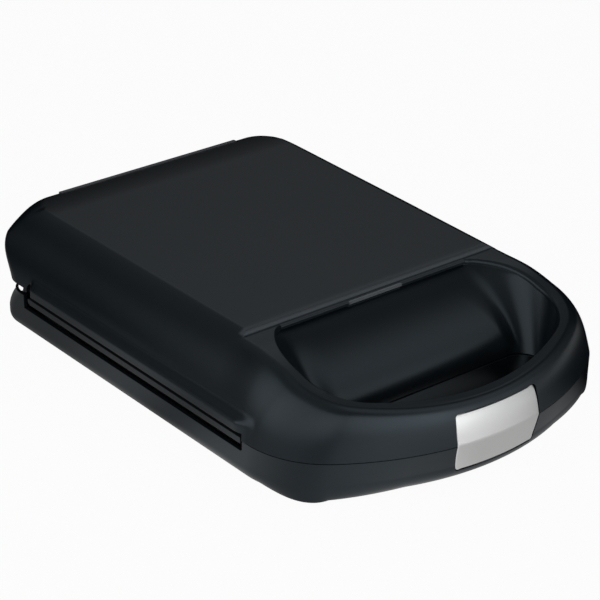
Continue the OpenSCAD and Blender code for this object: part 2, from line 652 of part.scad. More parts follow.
// Tube heater bent to a U that lies on the backs of the cells
element_x = (cell_w + cell_rim) / 2;
element_y = (cell_l + cell_rim) / 2;
bend_r = 16;
element_z = bulge_top + element_d / 2 + 0.05;
pin_out = 15;
module tube(length, d) rotate([-90, 0, 0]) cylinder(length, d / 2, d / 2);
module element() {
    front = -element_y + bend_r;
    both_sides() translate([element_x, front, element_z]) {
        tube(plate_l / 2 - 12 - front, element_d);
        translate([0, plate_l / 2 - 12.5 - front, 0]) tube(pin_out, 3);
        translate([-bend_r, 0, 0]) rotate([0, 0, -90]) rotate_extrude(angle = 90)
            translate([bend_r, 0]) circle(element_d / 2);
    }
    translate([-element_x + bend_r, -element_y, element_z]) rotate([0, 0, -90])
        tube(2 * (element_x - bend_r), element_d);
}
tray_w = plate_w / 2 + 1;
tray_l = plate_l / 2 + 1;
module tray() difference() {
    translate([0, 0, flange_top + 0.05]) linear_extrude(tray_top + sheet_t - flange_top - 0.05)
        rounded(-tray_w, tray_w, -tray_l, tray_l, 8);
    linear_extrude(tray_top)
        rounded(-tray_w + sheet_t, tray_w - sheet_t, -tray_l + sheet_t, tray_l - sheet_t, 8 - sheet_t);
    both_sides() translate([element_x, plate_l / 2 - 10, element_z]) tube(20, 5);
}
module upper_plate() color(cast_grey) as_upper() plate();
module upper_element() color(steel) as_upper() element();
module upper_reflector() color(silver) as_upper() tray();
module lower_plate() color(cast_grey) as_lower() plate();
module lower_element() color(steel) as_lower() element();
module lower_reflector() color(silver) as_lower() tray();

tray_back = mid_z + plate_gap / 2 + tray_top + sheet_t;
module thermostat() translate([0, plate_y, tray_back + 0.05]) {
    color(silver) cylinder(3, 9, 9);
    color(cast_grey) translate([0, 0, 2.5]) cylinder(7, 7, 7);
    color(silver) for (x = [-4, 4]) block(x - 0.4, x + 0.4, -3, 3, 9, 15);
}

// ---- Latch ----

bracket_z = lid_bottom + 0.05 + frame_t;
module latch_bracket() color(steel) difference() {
    union() {
        block(-cheek_x[1], cheek_x[1], latch_axis_y - 2.9, latch_axis_y + 2.9, bracket_z + 0.02,
              bracket_z + 1.6);
        for (s = [0, 1]) mirror([s, 0, 0]) across(cheek_x[0], cheek_x[1]) {
            translate([latch_axis_y, latch_axis_z]) circle(2.9);
            translate([latch_axis_y - 2.9, bracket_z + 0.02]) square([5.8, latch_axis_z - bracket_z]);
        }
    }
    across(-20, 20) translate([latch_axis_y, latch_axis_z]) circle(latch_pin_d / 2 + fixed_fit);
}
module latch_plate() color(silver) difference() {
    union() {
        intersection() {
            translate([0, front_y + front_r, 0]) rotate([0, 0, 225]) rotate_extrude(angle = 90, $fn = 120)
                polygon(concat(
                    [for (i = [0 : 6]) let (z = mix(latch_bottom - 1, latch_top - 1, i / 6))
                        [front_r - front_in(z), z]],
                    [for (a = [30, 60, 90])
                        [front_r - front_in(latch_top - 1) - 1.5 + cos(a), latch_top - 1 + sin(a)]],
                    [for (i = [6 : -1 : 0]) let (z = mix(latch_bottom - 1, latch_top, i / 6))
                        [front_r - front_in(z) - latch_t, z]]));
            along(front_y - 2, front_y + 20) latch_outline(0);
        }
        for (s = [0, 1]) mirror([s, 0, 0]) across(lug_x[0], lug_x[1]) {
            translate([latch_axis_y, latch_axis_z]) circle(lug_r);
            translate([latch_axis_y - 4.1, latch_axis_z - 2.8]) square([4.1, 5]);
        }
    }
    across(-20, 20) translate([latch_axis_y, latch_axis_z]) circle(latch_pin_d / 2 + running_fit);
}
module latch_pin() color(steel) across(-pin_half_l, pin_half_l)
    translate([latch_axis_y, latch_axis_z]) circle(latch_pin_d / 2);
module latch_spring() color(steel) {
    for (i = [-3 : 3]) translate([i * spring_wire * 0.98, latch_axis_y, latch_axis_z])
        rotate([0, 90, 0]) rotate_extrude() translate([spring_r, 0]) circle(spring_wire / 2, $fn = 12);
    translate([3 * spring_wire * 0.98, latch_axis_y + spring_r, bracket_z + 1.7])
        cylinder(latch_axis_z - bracket_z - 1.7, spring_wire / 2, spring_wire / 2, $fn = 12);
}
catch_y = front_y + 11.3;
catch_z = 10.5;
catch_t = 1.5;
catch_foot_y = front_y + 15.8;
module catch_plate() color(steel) {
    across(-latch_w / 2 - 3, latch_w / 2 + 3) {
        translate([catch_y, catch_z]) square([catch_t, cover_z - 0.3 - catch_z]);
        translate([catch_y, catch_z]) square([catch_foot_y + catch_t - catch_y, catch_t]);
        translate([catch_foot_y, foot_h + wall + 0.05]) square([catch_t, catch_z - foot_h - wall]);
    }
    block(-12, 12, catch_y - 2.4, catch_y + 0.2, 19, 23);
}

// ---- Base ----

cover_z = base_top - 0.05 - frame_t;
web_z = side_top - frame_t;
function base_screw_top(s) = s.y < shoulder_y ? cover_z + frame_t : side_top;
module base_shell() color(satin_black) difference() {
    difference() {
        base_form(0, [foot_h, foot_h + 0.6, foot_h + 2, foot_h + 4.5, base_side_edge, base_front_edge,
                      20, 25, seam_h + 2]);
        difference() {
            base_form(wall, [foot_h + wall, foot_h + 4.5, base_side_edge, 20, 25, seam_h + 4]);
            translate([0, 0, -1]) linear_extrude(40) gap_plan(wall - 0.8);
            both_sides() for (s = base_screw_spots)
                translate([s.x, s.y, 0]) cylinder(base_screw_top(s) - frame_t - 0.02, boss_r, boss_r);
        }
    }
    translate([0, 0, -1]) linear_extrude(40) gap_plan(-0.8);
    // top edge: handle seam, side slot, rear ears and rear corners
    block(-half_w - 1, half_w + 1, front_y - 1, shoulder_y + 1, base_top, 60);
    across(-half_w - 1, half_w + 1) {
        translate([shoulder_y + 2, side_top]) square([skirt_end_y + 8.5 - shoulder_y, 30]);
        translate([shoulder_y + 2, side_top + 2]) circle(2);
        translate([shoulder_y, side_top + 2]) square([10, 30]);
    }
    block(-half_w + 9, half_w - 9, skirt_end_y, rear_y, side_top + 1.5, 60);
    both_sides() block(half_w - 29, half_w - 7, frame_rear_y - 8, rear_y, 20, 60);
    latch_opening(front_y + 9.4);
    both_sides() for (s = foot_spots)
        translate([s.x, s.y, 0]) cylinder(20, foot_stem_r + fixed_fit, foot_stem_r + fixed_fit);
    both_sides() for (s = base_screw_spots)
        translate([s.x, s.y, foot_h + 6]) cylinder(40, screw_r - 0.2, screw_r - 0.2);
    gland_hole();
}
gland_x = -30;
gland_z = 16;
gland_r = 6.2;
gland_y = base_rear(gland_z) - 0.7 * base_side_in(gland_z);
module at_gland() translate([gland_x, gland_y, gland_z]) rotate([-90, 0, 0]) children();
module gland_hole() at_gland() translate([0, 0, -8]) cylinder(16, 4.6 + fixed_fit, 4.6 + fixed_fit);
module cord_gland() color(cast_grey) at_gland() difference() {
    union() {
        translate([0, 0, 0.02]) cylinder(2, gland_r, gland_r - 0.8);
        translate([0, 0, -wall - 3]) cylinder(wall + 4, 4.6, 4.6);
        translate([0, 0, -wall - 3]) cylinder(1.9, gland_r - 0.6, gland_r - 0.6);
    }
    translate([0, 0, -20]) cylinder(40, 3.3, 3.3);
}
module base_frame() color(dark_grey) difference() {
    union() {
        frame_web(web_z);
        handle_cover(cover_z, 0.8, -0.3, shoulder_y - 0.4);
        // step that joins the cover to the web
        both_sides() across(half_w - 67, half_w - 9) {
            translate([shoulder_y - 2.4, web_z]) square([2, cover_z + frame_t - web_z]);
            translate([shoulder_y - 2.4, web_z]) square([4, frame_t]);
        }
    }
    both_sides() for (s = base_screw_spots) translate([s.x, s.y, 0]) {
        cylinder(50, screw_hole_r, screw_hole_r);
        translate([0, 0, base_screw_top(s) - screw_sink])
            cylinder(20, screw_head_r + 0.2, screw_head_r + 0.2);
    }
}

module terminal_block() color([0.8, 0.8, 0.78]) translate([gland_x + 30, frame_rear_y - 1.5, 0])
    difference() {
        block(-14, 14, -5.5, 5.5, foot_h + wall + 0.05, foot_h + wall + 11);
        for (x = [-9, 0, 9]) translate([x, 0, 0]) cylinder(40, 1.8, 1.8);
    }
module thermal_fuse() color(silver) translate([gland_x - 4, frame_rear_y - 3, foot_h + wall + 0.05]) {
    block(-16, -6, -3.5, 3.5, 0, 3);
    translate([-11, 0, 2]) cylinder(5, 3, 3);
}

// Screw with its head at the origin and its shank upwards
module screw(length) {
    cylinder(screw_head_h, screw_head_r - 0.3, screw_head_r);
    cylinder(length, screw_r - 0.25, screw_r - 0.25);
}
module lid_screws() color(steel) {
    both_sides() for (s = lid_screw_spots) translate([s.x, s.y, 0])
        translate([0, 0, (s.y < shoulder_y ? lid_bottom + 0.05 : band_bottom) + 0.05]) screw(12);
    for (s = hinge_sides) translate([s * hinge_gap / 2, frame_rear_y - 4, band_bottom + 0.05]) screw(6.5);
}
module base_screws() color(steel) both_sides() for (s = base_screw_spots)
    translate([s.x, s.y, base_screw_top(s) - 0.05]) mirror([0, 0, 1]) screw(10);
module feet() color([0.1, 0.1, 0.1]) both_sides() for (s = foot_spots) translate([s.x, s.y, 0]) {
    cylinder(foot_h - 0.02, foot_r - 0.8, foot_r);
    cylinder(foot_h + wall - 0.1, foot_stem_r, foot_stem_r);
}

// ---- Hinges ----

module at_hinges() for (s = hinge_sides) translate([s * hinge_gap / 2, 0, 0]) children();
arm_base_z = band_bottom + frame_t;
module lid_hinge_arms() color(steel) at_hinges() difference() {
    across(-arm_t / 2, arm_t / 2) difference() {
        union() {
            translate([axis_y, hinge_h]) circle(knuckle_r);
            translate([frame_rear_y - 7, arm_base_z + 0.02]) square([axis_y - frame_rear_y + 7, 4.5]);
        }
        translate([axis_y, hinge_h]) circle(hinge_pin_d / 2 + running_fit);
    }
    translate([0, frame_rear_y - 4, 0]) cylinder(60, screw_r - 0.2, screw_r - 0.2);
}
module base_hinge_brackets() color(steel) at_hinges() {
    for (s = [0, 1]) mirror([s, 0, 0]) across(arm_t / 2 + side_gap, arm_t / 2 + side_gap + cheek_t)
        difference() {
            union() {
                translate([axis_y, hinge_h]) circle(cheek_r);
                polygon([[axis_y - cheek_r, hinge_h], [axis_y - 7.6, hinge_h - 8],
                         [axis_y - 7.6, foot_h + wall + 0.05], [axis_y - 4.8, foot_h + wall + 0.05],
                         [axis_y - 2.6, foot_h + wall + 7], [axis_y - 2.6, hinge_h - 6],
                         [axis_y, hinge_h - cheek_r]]);
            }
            translate([axis_y, hinge_h]) circle(hinge_pin_d / 2 + fixed_fit);
        }
    block(-arm_t / 2 - 2, arm_t / 2 + 2, axis_y - 7.6, axis_y - 4.8, foot_h + wall + 0.05, hinge_h - 9);
}
module hinge_pins() color(silver) at_hinges()
    across(-arm_t / 2 - side_gap - cheek_t, arm_t / 2 + side_gap + cheek_t)
        translate([axis_y, hinge_h]) circle(hinge_pin_d / 2);

lid_shell();
rear_rail();
indicator_window();
indicator_lamps();
lid_frame();
upper_plate();
upper_element();
upper_reflector();
thermostat();
latch_bracket();
latch_plate();
latch_pin();
latch_spring();
lid_hinge_arms();
lid_screws();
base_shell();
base_frame();
lower_plate();
lower_element();
lower_reflector();
base_hinge_brackets();
hinge_pins();
catch_plate();
terminal_block();
thermal_fuse();
cord_gland();
base_screws();
feet();
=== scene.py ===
import math

import bmesh
import bpy
import numpy as np
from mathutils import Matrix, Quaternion, Vector


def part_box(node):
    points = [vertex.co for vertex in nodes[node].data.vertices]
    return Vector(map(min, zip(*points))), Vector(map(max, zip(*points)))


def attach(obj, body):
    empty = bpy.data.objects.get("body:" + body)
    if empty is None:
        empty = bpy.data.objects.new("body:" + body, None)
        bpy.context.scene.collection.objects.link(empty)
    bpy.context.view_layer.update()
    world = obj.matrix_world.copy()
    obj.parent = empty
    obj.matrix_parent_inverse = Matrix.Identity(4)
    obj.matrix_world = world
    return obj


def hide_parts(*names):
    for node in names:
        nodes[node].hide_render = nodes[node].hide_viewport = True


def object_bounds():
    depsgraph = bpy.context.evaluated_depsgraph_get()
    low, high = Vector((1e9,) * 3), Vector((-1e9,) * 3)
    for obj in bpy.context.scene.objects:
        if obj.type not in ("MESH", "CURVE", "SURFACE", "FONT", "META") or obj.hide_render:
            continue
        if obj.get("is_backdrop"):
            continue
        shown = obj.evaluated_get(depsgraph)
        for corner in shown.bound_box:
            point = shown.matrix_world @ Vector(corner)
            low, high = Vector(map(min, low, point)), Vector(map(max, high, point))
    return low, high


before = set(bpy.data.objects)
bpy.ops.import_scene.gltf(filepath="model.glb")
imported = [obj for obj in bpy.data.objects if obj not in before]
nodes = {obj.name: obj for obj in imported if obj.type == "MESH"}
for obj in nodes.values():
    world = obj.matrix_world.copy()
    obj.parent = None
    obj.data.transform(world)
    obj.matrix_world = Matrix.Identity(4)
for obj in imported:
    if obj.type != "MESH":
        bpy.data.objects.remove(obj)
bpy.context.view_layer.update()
scene = bpy.context.scene

# ---- Lid cover
# The outer moulding of the lid: one black plastic shell that runs from the hinge over the
# flat deck and down round the finger gap to form the top half of the carrying handle.
# Sizes are in millimetres, in the frame of the CAD model.
MM = 0.001
body_length, body_width = 359.0, 254.0
deck_height, seam_height, wall = 78.4, 30.0, 2.5
front_y, rear_y, half_width = -body_length / 2, body_length / 2, body_width / 2
lid_bottom = seam_height + 0.25
side_lean, front_lean, rim_swell = 30.5, 10.0, 5.8
lean_straight, rear_straight = 0.54, 0.36
front_radius, corner_radius = 178.0, 59.0
front_radius_shrink, corner_radius_shrink = 17.0, 16.4
rim_front_height, rim_slope, rim_bead = 54.2, 0.263, 6.4
lip_y, lip_drop, lip_length = front_y + 120.3, 3.0, 6.5
shoulder_y = front_y + 86.0
deck_rise, roll_length, roll_drop = 1.3, 32.0, 2.1
roll_y = rear_y - roll_length
step_height = deck_height - lip_drop
skirt_height, skirt_flare, flare_height, strip_height = 34.8, 1.3, 10.5, 4.8
skirt_end_y = rear_y - 48.0
hinge_y, hinge_height = rear_y - 13.0, 33.0
rim_round, rim_fade, crease_round = 3.2, 16.0, 1.6
rear_round, rear_round_length, rear_corner_round = 5.5, 40.0, 4.0
deck_taper, taper_end_y, lip_blend, shoulder_blend = 2.4, rear_y - 40, 40.0, 120.0
rear_tuck, rear_tuck_height = 14.0, 25.0
rear_corners = [(38.0, 19.0), (62.0, 6.5), (deck_height, 18.0)]  # height and plan radius


def mix(a, b, t):
    return a + (b - a) * t


def share(t):
    return np.clip(t, 0.0, 1.0)


def soft_min(a, b, width):
    """The lower of two values, rounded over where they cross."""
    h = share(0.5 + (b - a) / (2 * width))
    return mix(b, a, h) - width * h * (1 - h)


def smooth_step(t):
    return t * t * (3 - 2 * t)


def lean(height, straight):
    """How far a side has leant in at a share of its height: at first straight, then ever faster."""
    return straight * height + (1 - straight) * height**4


def rim_height(y):
    return soft_min(step_height, rim_front_height + rim_slope * (y - front_y - front_lean), 4.0)


def top_height(y):
    """Height of the lid's top along its length: handle rim, lip, deck and the fall at the rear."""
    lip = step_height + lip_drop * np.sqrt(1 - share((lip_y + lip_length - y) / lip_length) ** 2)
    rise = deck_rise * share((y - lip_y) / (roll_y - lip_y))
    rear = deck_height + rise - roll_drop * share((y - roll_y) / roll_length) ** 1.7
    return np.where(y < lip_y, rim_height(y), np.where(y < lip_y + lip_length, lip, rear))


def lid_rear(z):
    """The rear end, which tucks in towards its lower edge."""
    return rear_y - rear_tuck * share(1 - (z - seam_height) / rear_tuck_height) ** 2


def lid_rear_radius(z):
    (low_z, low_radius), (middle_z, middle_radius), (top_z, top_radius) = rear_corners
    lower = mix(low_radius, middle_radius, smooth_step(share((z - low_z) / (middle_z - low_z))))
    upper = mix(middle_radius, top_radius, (z - middle_z) / (top_z - middle_z))
    return np.where(z < middle_z, lower, upper)


# The plan outline, as counts of points on its arcs and places along its straight side
front_steps, corner_steps, rear_steps = 40, 30, 14
corner_end_y = -99.2
side_near = 5
side_places = np.concatenate(
    [
        lip_y - np.linspace(30, 1, 13),
        lip_y + lip_length * (1 - np.cos(np.linspace(0, math.pi / 2, 13))),
        np.linspace(lip_y + 12, skirt_end_y - 6, 18),
        skirt_end_y + np.array([0, 1.25, 2.5, 3.75, 5]),
    ]
)
side_rear = np.linspace(0, 1, 12)[1:-1]
side_count = side_near + len(side_places) + len(side_rear)
half_count = front_steps + corner_steps + 1 + side_count + rear_steps + 1
side_start = front_steps + corner_steps + 1
rear_start = side_start + side_count


def plan_outline(half, front, big, small, rear, rear_radius):
    """Right half of a plan outline; every size may differ from point to point."""
    half, front, big, small, rear, rear_radius = (
        np.broadcast_to(v, half_count).astype(float) for v in (half, front, big, small, rear, rear_radius)
    )
    centre_y = front + big
    corner_x = half - small
    corner_y = centre_y - np.sqrt((big - small) ** 2 - corner_x**2)
    turn = np.arctan2(corner_y - centre_y, corner_x)
    x, y = np.zeros(half_count), np.zeros(half_count)
    i = np.arange(front_steps)
    a = mix(-math.pi / 2, turn[i], (i + 0.5) / front_steps)
    x[i], y[i] = big[i] * np.cos(a), centre_y[i] + big[i] * np.sin(a)
    i = np.arange(front_steps, side_start)
    a = mix(turn[i], 0, (i - front_steps) / corner_steps)
    x[i], y[i] = corner_x[i] + small[i] * np.cos(a), corner_y[i] + small[i] * np.sin(a)
    i = np.arange(side_start, rear_start)
    x[i] = half[i]
    last = rear[i] - rear_radius[i]
    first_fixed, last_fixed = side_places[0], side_places[-1]
    near = mix(corner_y[i[:side_near]], first_fixed, np.arange(1, side_near + 1) / (side_near + 1))
    far = mix(last_fixed, last[-len(side_rear) :], side_rear)
    y[i] = np.concatenate([near, side_places, far])
    i = np.arange(rear_start, half_count)
    a = (math.pi / 2) * (i - rear_start) / rear_steps
    x[i] = half[i] - rear_radius[i] + rear_radius[i] * np.cos(a)
    y[i] = rear[i] - rear_radius[i] + rear_radius[i] * np.sin(a)
    return x, y


# Place of each point along the side, which sets how the side leans and how far it swells
along_side = np.full(half_count, side_places[0])
along_side[side_start + side_near : side_start + side_near + len(side_places)] = side_places
along_side[side_start + side_near + len(side_places) :] = rear_y
straightness = mix(lean_straight, rear_straight, share((along_side - shoulder_y) / shoulder_blend))
to_front = smooth_step(share((lip_y - along_side) / lip_blend))
swelling = rim_swell * to_front + deck_taper * share((along_side - lip_y) / (taper_end_y - lip_y))


def lid_line(f, z, inset):
    """Plan outline of the lid where its sides have leant in by the share f, at height z."""
    return plan_outline(
        half_width - (side_lean - swelling) * f - inset,
        front_y + front_lean * f + inset,
        front_radius - front_radius_shrink * f - inset,
        corner_radius - corner_radius_shrink * f - inset,
        lid_rear(z) - inset,
        np.maximum(lid_rear_radius(z) - inset, 0.6),
    )


# The flank runs on past the lip as one surface, so just in front of the lip its crest is cut low
crest_z = top_height(lid_line(1.0, deck_height, 0.0)[1])
flank_top = np.maximum(crest_z, mix(deck_height, crest_z, to_front))
crest_share = lean(share((crest_z - seam_height) / (flank_top - seam_height)), straightness)
crest_y = lid_line(crest_share, deck_height, 0.0)[1]
rear_share = share((np.arange(half_count) - rear_start) / rear_steps)
rounding = np.where(
    crest_y < lip_y,
    mix(rim_round, crease_round, share((crest_y - lip_y + rim_fade) / rim_fade)),
    mix(crease_round, rear_round, share((crest_y - roll_y) / rear_round_length) ** 2),
)
at_rear = np.arange(half_count) >= rear_start
rounding = np.where(at_rear, mix(rear_round, rear_corner_round, rear_share**3), rounding)
# Depth below the crest at which the side gives way to the rounded edge
rounding_depth = 1.6 + 0.5 * rounding + 0.0125 * rounding**2
flare_start, flare_end = 10.0, 5.0


def flare_at(x, y, z):
    """How far the foot of the side stands out, up to an upright strip along the skirt's edge."""
    places = share((y - corner_end_y) / flare_start) * share((skirt_end_y + flare_end - y) / flare_end)
    low = share((skirt_height + flare_height - z) / (flare_height - strip_height))
    return (half_width + skirt_flare - x) * places * smooth_step(low)


def lid_side_ring(h, inset, bottom):
    """Half ring of the lid's side at a share of its height, from its lower edge up to the rounding."""
    z = mix(bottom, crest_z - rounding_depth - inset, h)
    f = lean(share((z + inset - seam_height) / (flank_top - seam_height)), straightness)
    x, y = lid_line(f, z, inset)
    side = np.arange(half_count) >= side_start
    return np.stack([x + np.where(side, flare_at(x + inset, y, z), 0), y, z], 1)


def lid_top_ring(t, inset, start):
    """Half ring of the rounded edge: a curve from the side's last ring over the crest onto the top."""
    bx, by = lid_line(crest_share, deck_height, inset)
    cx, cy = lid_line(crest_share, deck_height, inset + rounding)
    corner = np.stack([bx, by, crest_z - inset], 1)
    end = np.stack([cx, cy, top_height(cy) - inset], 1)
    return (1 - t) ** 2 * start + 2 * (1 - t) * t * corner + t * t * end


def mirrored(half):
    return np.concatenate([half, half[::-1] * [-1, 1, 1]])


def mesh_from(name, points, faces):
    """New mesh object from points in millimetres."""
    mesh = bpy.data.meshes.new(name)
    mesh.from_pydata([tuple(p) for p in np.array([tuple(p) for p in points]) * MM], [], faces)
    work = bmesh.new()
    work.from_mesh(mesh)
    bmesh.ops.remove_doubles(work, verts=work.verts, dist=1e-7)
    bmesh.ops.recalc_face_normals(work, faces=work.faces)
    work.to_mesh(mesh)
    work.free()
    piece = bpy.data.objects.new(name, mesh)
    scene.collection.objects.link(piece)
    return piece


def cap_faces(points, left_right, columns, surface):
    """Strips across a cap, from pairs of point numbers; the first and last pair stay undivided."""
    rows = []
    for left, right in left_right:
        row = [left]
        if 0 < len(rows) < len(left_right) - 1:
            for c in range(1, columns):
                points.append(surface(mix(np.array(points[left]), np.array(points[right]), c / columns)))
                row.append(len(points) - 1)
        rows.append(row + [right])
    faces = []
    for a, b in zip(rows[:-1], rows[1:]):
        if len(a) == len(b) > 2:
            faces += [(a[c], a[c + 1], b[c + 1], b[c]) for c in range(columns)]
        else:
            faces.append((*a, *b[::-1]))
    return faces


def ring_faces(count, ring):
    """Faces between rings that follow each other, each a closed line of as many points."""
    return [
        (k * ring + i, k * ring + (i + 1) % ring, (k + 1) * ring + (i + 1) % ring, (k + 1) * ring + i)
        for k in range(count - 1)
        for i in range(ring)
    ]


def loft(name, halves, columns=12):
    """Closed skin through mirrored half rings; its caps are strips across the width."""
    rings = [mirrored(h) for h in halves]
    ring, half = len(rings[0]), len(halves[0])
    points = [p for r in rings for p in r]
    faces = ring_faces(len(rings), ring)
    for base in (0, (len(rings) - 1) * ring):
        pairs = [(base + ring - 1 - i, base + i) for i in range(half)]
        faces += cap_faces(points, pairs, columns, tuple)
    return mesh_from(name, points, faces)


def lid_form(name, inset, bottom, levels, turns):
    """Whole body of the lid, or with an inset the room inside it."""
    rings = [lid_side_ring(h, inset, bottom) for h in levels]
    return loft(name, rings + [lid_top_ring(t, inset, rings[-1]) for t in turns])


# The finger gap: a mouth that follows the rim, a back that rolls down, and a narrower foot
gap_half_width, gap_length, handle_thickness = 80.0, 48.0, 20.0
wave_start, wave_drop = math.radians(38), 3.4
side_bead, bead_fade = rim_bead + 3, 0.9
# The rolled rim, from the gap outwards: how far from the mouth's line, and how far below the rim
bead_profile = [(0.12, 2.2), (0.5, 1.4), (0.95, 0.85), (1.5, 0.45), (2.3, 0.12), (3.2, -0.1), (3.3, -3)]
# Sizes of each outline: half width, front, front radius, corner radius, back, and for the curve
# at the back its reach across and along, and how far past the straight back it aims
gap_mouth = (
    half_width - side_lean + rim_swell - side_bead,
    front_y + front_lean + rim_bead,
    front_radius - front_radius_shrink - rim_bead,
    corner_radius - corner_radius_shrink - rim_bead,
    lip_y - 0.8,
    (50.0, 56.0, 12.0),
)
gap_foot = (
    gap_half_width,
    front_y + handle_thickness,
    front_radius - handle_thickness,
    20.0,
    front_y + handle_thickness + gap_length,
    (13.0, 13.0, 0.0),
)
gap_front_steps, gap_corner_steps, gap_side_steps, gap_back_steps = 30, 26, 8, 30
gap_count = gap_front_steps + gap_corner_steps + 1 + gap_side_steps + gap_back_steps + 1


def gap_line(sizes, outset):
    """Right half of an outline of the gap, from the middle of the front round to the back."""
    half, front, big, small, back, (back_across, back_along, past) = sizes
    centre_y = front + big
    corner_x = half - small
    corner_y = centre_y - math.sqrt((big - small) ** 2 - corner_x**2)
    turn = math.atan2(corner_y - centre_y, corner_x)
    back_y = back + past - back_along
    a = mix(-math.pi / 2, turn, (np.arange(gap_front_steps) + 0.5) / gap_front_steps)
    front_part = np.stack([(big + outset) * np.cos(a), centre_y + (big + outset) * np.sin(a)], 1)
    a = mix(turn, 0, np.arange(gap_corner_steps + 1) / gap_corner_steps)
    corner_part = np.stack(
        [corner_x + (small + outset) * np.cos(a), corner_y + (small + outset) * np.sin(a)], 1
    )
    t = (np.arange(gap_side_steps) + 1) / (gap_side_steps + 1)
    side_part = np.stack([np.full(gap_side_steps, half + outset), mix(corner_y, back_y, t)], 1)
    a = (math.pi / 2) * np.arange(gap_back_steps + 1) / gap_back_steps
    back_part = np.stack(
        [
            half - back_across + (back_across + outset) * np.cos(a),
            soft_min(back_y + (back_along + outset) * np.sin(a), back + outset, past / 2 + 0.01),
        ],
        1,
    )
    return np.concatenate([front_part, corner_part, side_part, back_part])


# How far each point of the outline belongs to the back wall, from 0 to 1
gap_side_end = gap_count - 1 - gap_back_steps
gap_backness = smooth_step(share((np.arange(gap_count) - gap_side_end) / gap_back_steps))
gap_rim = rim_height(gap_line(gap_mouth, 0)[:, 1])


def gap_bead_ring(out, down, outset):
    widen = outset + out * (1 - bead_fade * gap_backness)
    base, grown = gap_line(gap_mouth, 0), gap_line(gap_mouth, 1)
    line = base + (grown - base) * widen[:, None]
    return np.column_stack([line, gap_rim - down])


def gap_wall_ring(angle, outset):
    """Ring of the wall; the sides run down straight, the back rolls over like a wave."""
    turned = mix(wave_start, math.pi / 2, angle / (math.pi / 2))
    straight = 1 - math.cos(angle)
    rolled = (math.sin(turned) - math.sin(wave_start)) / (1 - math.sin(wave_start))
    fall = mix(straight, 1 - math.cos(turned) / math.cos(wave_start), gap_backness)
    run = mix(straight, rolled, gap_backness)
    mouth, foot = gap_line(gap_mouth, outset), gap_line(gap_foot, outset)
    high = mix(gap_rim - rim_round, step_height - wave_drop, gap_backness)
    high = high - outset * gap_backness * math.cos(angle)
    return np.column_stack([mix(mouth, foot, run[:, None]), mix(high, seam_height, fall)])


def gap_form(name, outset):
    foot = np.column_stack([gap_line(gap_foot, outset), np.full(gap_count, lid_bottom - 2)])
    walls = [gap_wall_ring(a, outset) for a in np.radians(np.linspace(90, 0, 19))]
    rim = [gap_bead_ring(out, down, outset) for out, down in bead_profile]
    return loft(name, [foot, *walls, *rim], columns=8)


def prism(name, outline, low, high, axis):
    """Solid with the given outline, run along one axis from low to high."""
    order = {"x": (2, 0, 1), "y": (0, 2, 1), "z": (0, 1, 2)}[axis]
    n = len(outline)
    points = [tuple((u, v, w)[k] for k in order) for w in (low, high) for u, v in outline]
    sides = [(i, (i + 1) % n, n + (i + 1) % n, n + i) for i in range(n)]
    return mesh_from(name, points, [tuple(range(n)), tuple(range(n, 2 * n)), *sides])


def box_outline(a0, a1, b0, b1):
    return [(a0, b0), (a1, b0), (a1, b1), (a0, b1)]


def arc(centre, radius, start, end, steps):
    return [
        (centre[0] + radius * math.cos(a), centre[1] + radius * math.sin(a))
        for a in np.radians(np.linspace(start, end, steps + 1))
    ]


def disc_outline(centre, radius):
    return arc(centre, radius, 0, 352.5, 47)


def combine(piece, tools, operation="DIFFERENCE"):
    """Cuts the tools out of a piece, or joins or meets it with them, and deletes the tools."""
    for tool in tools:
        step = piece.modifiers.new("step", "BOOLEAN")
        step.operation, step.solver, step.object = operation, "MANIFOLD", tool
        bpy.context.view_layer.update()
        result = bpy.data.meshes.new_from_object(
            piece.evaluated_get(bpy.context.evaluated_depsgraph_get())
        )
        piece.modifiers.clear()
        piece.data = result
        bpy.data.objects.remove(tool)


sharp_angle = math.radians(28.0)


def smoothed(piece):
    """Smooth shading, with edges sharper than the angle kept as edges."""
    work = bmesh.new()
    work.from_mesh(piece.data)
    bmesh.ops.dissolve_degenerate(work, dist=2e-6, edges=work.edges)
    for face in work.faces:
        face.smooth = True
    for edge in work.edges:
        edge.smooth = len(edge.link_faces) != 2 or edge.calc_face_angle() < sharp_angle
    work.to_mesh(piece.data)
    work.free()
    weighted = piece.modifiers.new("weighted", "WEIGHTED_NORMAL")
    weighted.keep_sharp, weighted.weight = True, 60


fine_levels = np.concatenate([np.linspace(0, 0.34, 18), np.linspace(0.37, 1, 20)])
turns = np.linspace(0, 1, 9)[1:]
lid_cover = lid_form("lid_cover", 0.0, lid_bottom, fine_levels, turns)
lid_hollow = lid_form("lid_hollow", wall, lid_bottom - 4, np.linspace(0, 1, 14), [0.5, 1.0])
combine(lid_hollow, [gap_form("gap_outer", wall)])
combine(lid_cover, [lid_hollow, gap_form("gap_inner", 0.0)])

# Hanging edge in the middle of the lip, with the recess of the indicator window in it
tab_thickness, tab_half, window_half, window_thickness, window_room = 3.4, 147.0 / 2, 21.0, 1.6, 0.1
tab_depth, tab_round = 6.0, 0.9
tab_front, tab_bottom, tab_top = lip_y - tab_thickness, step_height - 2.2, step_height + 0.2
tab_outline = [
    (tab_front, tab_bottom),
    (tab_front + tab_depth, tab_bottom),
    (tab_front + tab_depth, tab_top),
    *arc((tab_front + tab_round, tab_top - tab_round), tab_round, 90, 180, 8),
]
combine(lid_cover, [prism("tab", tab_outline, -tab_half, tab_half, "x")], "UNION")

